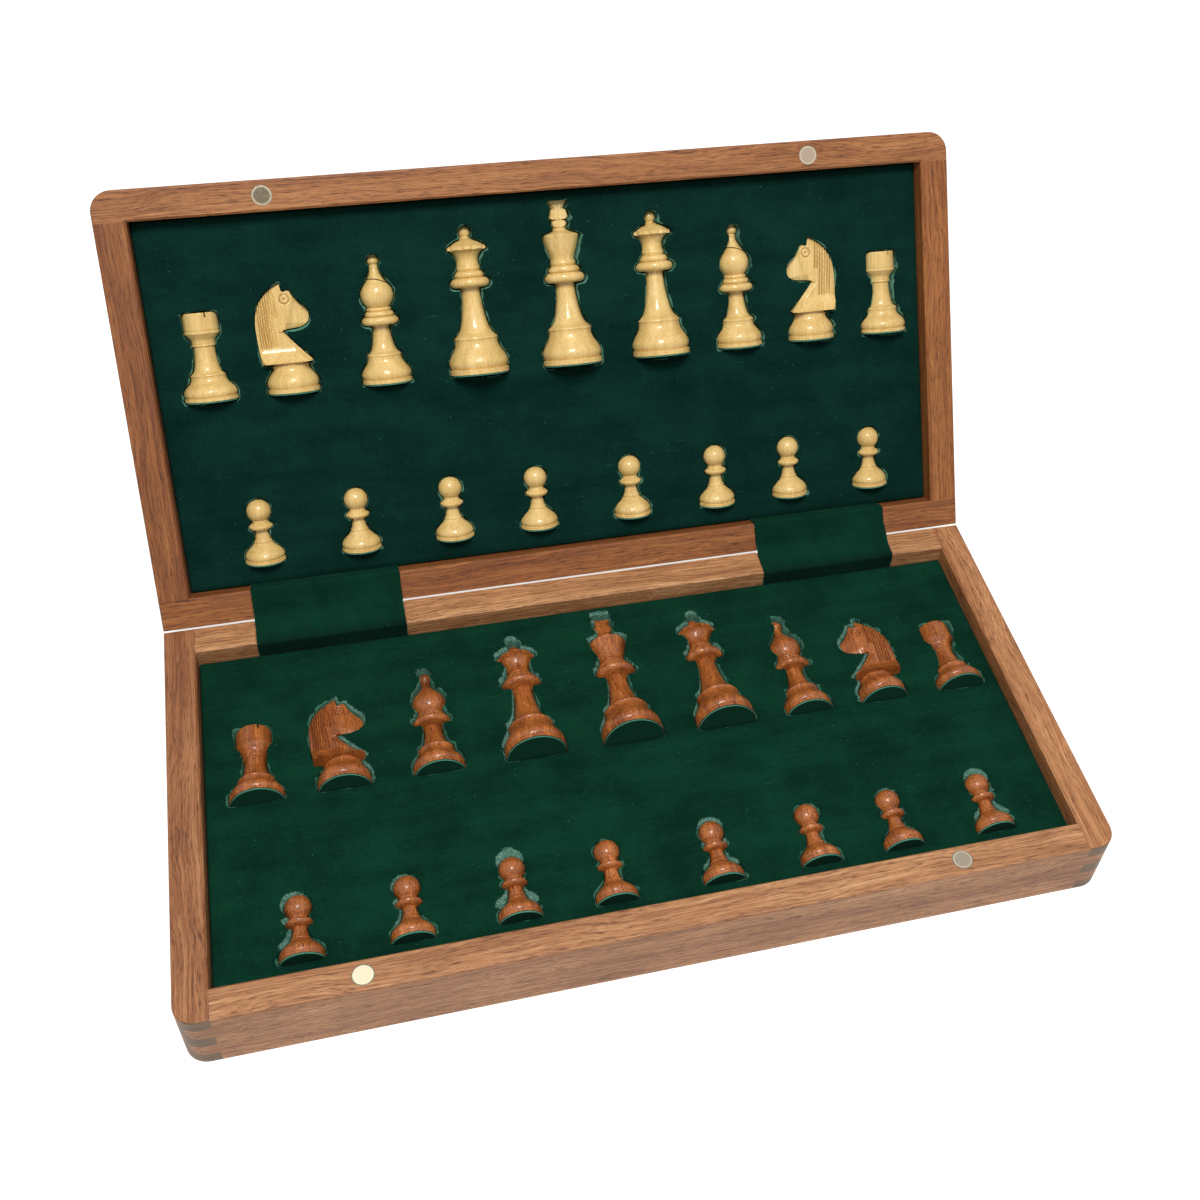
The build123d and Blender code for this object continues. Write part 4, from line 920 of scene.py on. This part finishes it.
def insert_surface(half):
    """The velvet of one half with its pockets: the grid's vertices before and after they are drawn to
    the pockets' walls, the grid's shape and the vertex fields of the velvet."""
    low, high = own_box(f"{half}_insert")
    top = high[2]
    # the base's men have their heads towards the hinge
    colour, headward = ("dark", 1) if half == "base" else ("light", -1)
    names = [node for node in men if node.startswith(colour)]
    reaches = [man_shapes[node][0][:, 1] for node in names]
    ranges = [(reach.min() - GRID_MARGINS[0], reach.max() + GRID_MARGINS[1]) for reach in reaches]
    x_lines = lines(low[0], high[0], [(low[0], high[0])])
    y_lines = lines(low[1], high[1], ranges)
    grid_x, grid_y = np.meshgrid(x_lines, y_lines)
    plan = np.stack([grid_x.ravel(), grid_y.ravel()], 1)
    outlines = [outline_of(*man_shapes[node]) for node in names]
    from_man, owner = signed_distance(plan, outlines)
    near = np.abs(from_man) < POCKET_REACH
    wobble = np.zeros(len(plan))
    wobble[near] = slow_noise(plan[near], 0.35, 3.7) + 0.5 * slow_noise(plan[near], 1.3, 8.1)
    distance = from_man - POCKET_GAP - POCKET_WOBBLE * wobble
    slope_y, slope_x = np.gradient(distance.reshape(grid_x.shape), y_lines, x_lines)
    slope = np.stack([slope_x.ravel(), slope_y.ravel()], 1)
    slope /= np.maximum(np.linalg.norm(slope, axis=1), LEAST_SLOPE)[:, None]
    floors = np.array([man_shapes[node][0][:, 2].min() - POCKET_UNDER for node in names])
    floor = floors[owner]
    heights = np.full(len(plan), top, float)
    moved = plan.copy()
    edge = distance.copy()
    band = np.round(distance / GRID_STEP).astype(int)
    heights[band < BANDS[0][0]] = floor[band < BANDS[0][0]]
    for number, level, below in BANDS:
        here = band == number
        moved[here] += ((level - distance[here])[:, None]) * slope[here]
        edge[here] = level
        heights[here] = np.maximum(top - below, floor[here])
        if below == LOW_WALL:
            heights[here] += LOW_WALL_SHARE * (top - floor[here])
    # bare foam where the velvet was cut too wide
    bare = np.zeros(len(plan))
    cut = [(outline, CUT_TOO_WIDE[node]) for node, outline in zip(names, outlines) if node in CUT_TOO_WIDE]
    if cut:
        wide = [recut(outline, right, headward * past, wider) for outline, (right, past, wider) in cut]
        from_cut, _ = signed_distance(moved, wide)
        bare = np.clip(POCKET_GAP - from_cut, 0, BARE_MOST)
        feet = np.array([outline[1][0 if headward > 0 else -1] for outline in outlines])
        pawns = np.array(["pawn" in node for node in names])
        from_foot = headward * (moved[:, 1] - feet[owner])
        bare *= np.where(pawns[owner], ramp_up(from_foot, *PAWN_COVERED), 1)
    outside = edge > 0
    heights[outside] -= BARE_DROP * np.clip(bare[outside] / BARE_SLOPE, 0, 1)
    waves = slow_noise(plan, 0.025, 1.0) + 0.4 * slow_noise(plan, 0.09, 5.0)
    heights -= PILE_WAVES * (waves + 1.2) * np.clip((distance - WAVES_FROM) / WAVES_RISE, 0, 1)
    border = np.minimum.reduce([plan[:, 0] - low[0], high[0] - plan[:, 0], plan[:, 1] - low[1],
                                high[1] - plan[:, 1]])
    roll = np.clip(1 - border / EDGE_ROLL, 0, 1)
    heights -= EDGE_DROP * (1 - np.sqrt(1 - roll**2))
    return plan, np.column_stack([moved, heights]), grid_x.shape, {"edge": edge, "bare": bare}


def make_insert(half, material):
    """One half's velvet insert, closed by a skirt and a flat underside."""
    low, high = own_box(f"{half}_insert")
    plan, top, shape, fields = insert_surface(half)
    index = np.arange(len(top)).reshape(shape)
    border = grid_border(index)
    skirt = top[border].copy()
    skirt[:, 2] = low[2]
    skirt_index = len(top) + np.arange(len(border))
    faces = np.concatenate([grid_faces(index), wall_faces(border, skirt_index)]).tolist()
    faces.append(skirt_index[::-1].tolist())
    fields["edge"] = np.concatenate([fields["edge"], np.full(len(border), SKIRT_EDGE)])
    fields["bare"] = np.concatenate([fields["bare"], np.zeros(len(border))])
    uv = (plan - low[:2]) / (high - low)[:2] * UV_TOP + UV_MARGIN
    skirt_uv = uv[border].copy()
    skirt_uv[:, 1] = UV_SKIRT + UV_SKIRT_HEIGHT * (skirt_uv[:, 1] - UV_MARGIN) / UV_TOP[1]
    piece = new_piece(f"{half}_velvet_insert", np.concatenate([top, skirt]), faces, half_matrix[half],
                      material, fields, np.concatenate([uv, skirt_uv]))
    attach(piece, half)
    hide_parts(f"{half}_insert")


velvet_tones = {
    "base": (srgb(4, 35, 25), srgb(10, 54, 39), srgb(82, 138, 118)),
    "lid": (srgb(4, 32, 27), srgb(11, 47, 40), srgb(104, 158, 138)),
    "strap": (srgb(4, 35, 25), srgb(10, 54, 39), srgb(62, 112, 92)),
}
for half in half_matrix:
    make_insert(half, velvet(half, f"{half}_velvet", *velvet_tones[half]))


# ======== straps
def rounded(corners, radii, step):
    """A path of points about step apart through the corners, each rounded by its radius."""
    path = [corners[0]]
    for before, corner, after, radius in zip(corners, corners[1:], corners[2:], radii):
        back, ahead = (before - corner).normalized(), (after - corner).normalized()
        half_angle = back.angle(ahead) / 2
        reach = radius / np.tan(half_angle)
        centre = corner + (back + ahead).normalized() * radius / sin(half_angle)
        start, end = corner + back * reach - centre, corner + ahead * reach - centre
        count = max(4, int(radius * (pi - 2 * half_angle) / step))
        path += [centre + start.slerp(end, n / count).normalized() * radius for n in range(count + 1)]
    path.append(corners[-1])
    fine = [path[0]]
    for here, there in zip(path, path[1:]):
        count = max(1, round((there - here).length / step))
        fine += [here.lerp(there, (n + 1) / count) for n in range(count)]
    return fine


def strap_corners(node):
    """Corners of a strap's middle line as Y and Z in the row frame, and the radii of its bends:
    down each rear rail's inner wall, over both rims and across the hinge."""
    strap_line = hinge_point.z / MM - STRAP_THICKNESS / 2
    wall = own_box(node)[0][1] + STRAP_THICKNESS / 2
    foot = own_box("base_insert")[1][2] - STRAP_TUCK
    tangent = np.tan(opening / 2)
    corner = hinge_point.y / MM + (hinge_point.z / MM - strap_line) / tangent
    bend = (corner - wall - STRAP_CORNER - STRAP_FLAT) * tangent

    def on_lid(along, above):
        place = half_matrix["lid"] @ (Vector((0, along, above)) * MM) / MM
        return Vector((place.y, place.z))

    corners = [Vector((wall, foot)), Vector((wall, strap_line)), Vector((corner, strap_line)),
               on_lid(wall, strap_line), on_lid(wall, foot)]
    return corners, (STRAP_CORNER, bend, STRAP_CORNER)


def make_strap(node, side, material):
    """A velvet ribbon with a little thickness, its edges softly uneven."""
    corners, radii = strap_corners(node)
    path = rounded(corners, radii, STRAP_STEP)
    rows, columns = len(path), STRAP_COLUMNS + 1
    tangents = np.gradient(np.array(path), axis=0)
    tangents /= np.linalg.norm(tangents, axis=1)[:, None]
    outward = np.stack([-tangents[:, 1], tangents[:, 0]], 1)
    run = np.concatenate([[0], np.cumsum([(b - a).length for a, b in zip(path, path[1:])])])
    low, high = own_box(node)
    share = np.linspace(-1, 1, columns)
    half_width = (high[0] - low[0]) / 2
    middle = (high[0] + low[0]) / 2
    # the rows run up the strap, the columns across it
    over_hinge = np.exp(-(((run / run[-1] - 0.5) / STRAP_BOW_SPREAD) ** 2))
    outer = STRAP_BOW * over_hinge[:, None] * np.clip(share * side, 0, 1)[None] ** 3 * (side > 0)
    places = np.stack(np.meshgrid(share * half_width, run), -1).reshape(-1, 2)
    fray = slow_noise(places, 0.30, 5.0 + side).reshape(rows, columns)
    across = middle + share[None] * half_width * (1 + STRAP_FRAY * fray) + outer
    soft = slow_noise(places, 0.07, 11.0 + side).reshape(rows, columns)
    rolled = np.clip(1 - half_width * (1 - np.abs(share)) / STRAP_ROUND, 0, 1)
    lift = STRAP_THICKNESS / 2 * np.sqrt(1 - STRAP_THINNING * rolled[None] ** 2) + STRAP_PILE * soft
    surfaces = []
    for reach in (lift, np.full_like(lift, -STRAP_THICKNESS / 2)):
        spot = np.array(path)[:, None, :] - outward[:, None, :] * reach[..., None]
        surfaces.append(np.dstack([across, spot]).reshape(-1, 3))
    count = rows * columns
    index = np.arange(count).reshape(rows, columns)
    border = grid_border(index)
    faces = np.concatenate([grid_faces(index)[:, ::-1], grid_faces(index) + count,
                            wall_faces(border, border + count)]).tolist()
    from_side = half_width * (1 - np.abs(share))[None]
    from_fold = np.abs(run - run[-1] + STRAP_FOLD)[:, None]
    # the pale line at the fold is painted highlight; at the sides it is partly the cut edge, partly painted
    # highlight
    edge = np.minimum(from_side + STRAP_SIDE_EDGE, from_fold + STRAP_FOLD_EDGE).ravel()
    along = np.column_stack([places, np.zeros(count)])
    # the texture's lower half holds the outer face, its upper half the inner one
    uv = places / (half_width, run[-1]) * STRAP_UV + (0.5, UV_MARGIN)
    fields = {"edge": np.concatenate([edge, edge]), "along": np.concatenate([along, along])}
    piece = new_piece(f"{node}_ribbon", np.concatenate(surfaces), faces, half_matrix["base"], material,
                      fields, np.concatenate([uv, uv + (0, 0.5)]))
    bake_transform(piece)
    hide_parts(node)


for node, side in (("left_strap", -1), ("right_strap", 1)):
    make_strap(node, side, velvet("base", f"{node}_velvet", *velvet_tones["strap"], stretched=True))


# ======== floor, light and camera
def stage():
    """A plain pale floor that shows white round the shadow."""
    shader = Shader("pale_floor")
    strength = shader.times(shader.seen_directly(), FLOOR_GLOW)
    cover = shader.add("BsdfDiffuse", {"Color": (FLOOR_GREY, FLOOR_GREY, FLOOR_GREY, 1)})
    glow = shader.add("Emission", {"Color": (1, 1, 1, 1), "Strength": strength})
    both = shader.add("AddShader", {0: cover.outputs[0], 1: glow.outputs[0]})
    shader.add("OutputMaterial", {"Surface": both.outputs[0]})
    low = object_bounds()[0].z
    mesh = bpy.data.meshes.new("floor")
    corners = [(x * FLOOR_SIZE, y * FLOOR_SIZE, low) for x, y in ((-1, -1), (1, -1), (1, 1), (-1, 1))]
    mesh.from_pydata(corners, [], [(0, 1, 2, 3)])
    mesh.materials.append(shader.made)
    new_object("floor", mesh)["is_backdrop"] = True


def world():
    """White where the camera and reflections look, plain grey light elsewhere."""
    shader = Shader("studio", bpy.data.worlds)
    strength = shader.add("MapRange", {"Value": shader.seen_directly(), "To Min": WORLD_LIGHT})
    background = shader.add("Background", {"Color": (1, 1, 1, 1), "Strength": strength.outputs[0]})
    shader.add("OutputWorld", {"Surface": background.outputs[0]})
    bpy.context.scene.world = shader.made


def lamp(name, place, target, size, power, colour):
    """A soft lamp aimed at a point."""
    data = bpy.data.lights.new(name, "AREA")
    data.shape = "RECTANGLE"
    data.size, data.size_y = size
    data.energy = power
    data.color = colour
    made = new_object(name, data)
    made.location = place
    made.rotation_euler = (Vector(target) - Vector(place)).to_track_quat("-Z", "Y").to_euler()


stage()
world()
for name, settings in LAMPS.items():
    lamp(name, *settings)

camera_data = bpy.data.cameras.new("camera")
camera_data.lens = CAMERA_LENS
camera_data.sensor_width = 36
camera_data.shift_x, camera_data.shift_y = CAMERA_SHIFT
camera_data.clip_start, camera_data.clip_end = 0.01, 20
camera = new_object("camera", camera_data)
camera.location = CAMERA_PLACE
camera.rotation_euler = Euler([radians(angle) for angle in CAMERA_TURN])
bpy.context.scene.camera = camera
bpy.context.scene.view_settings.view_transform = "Standard"
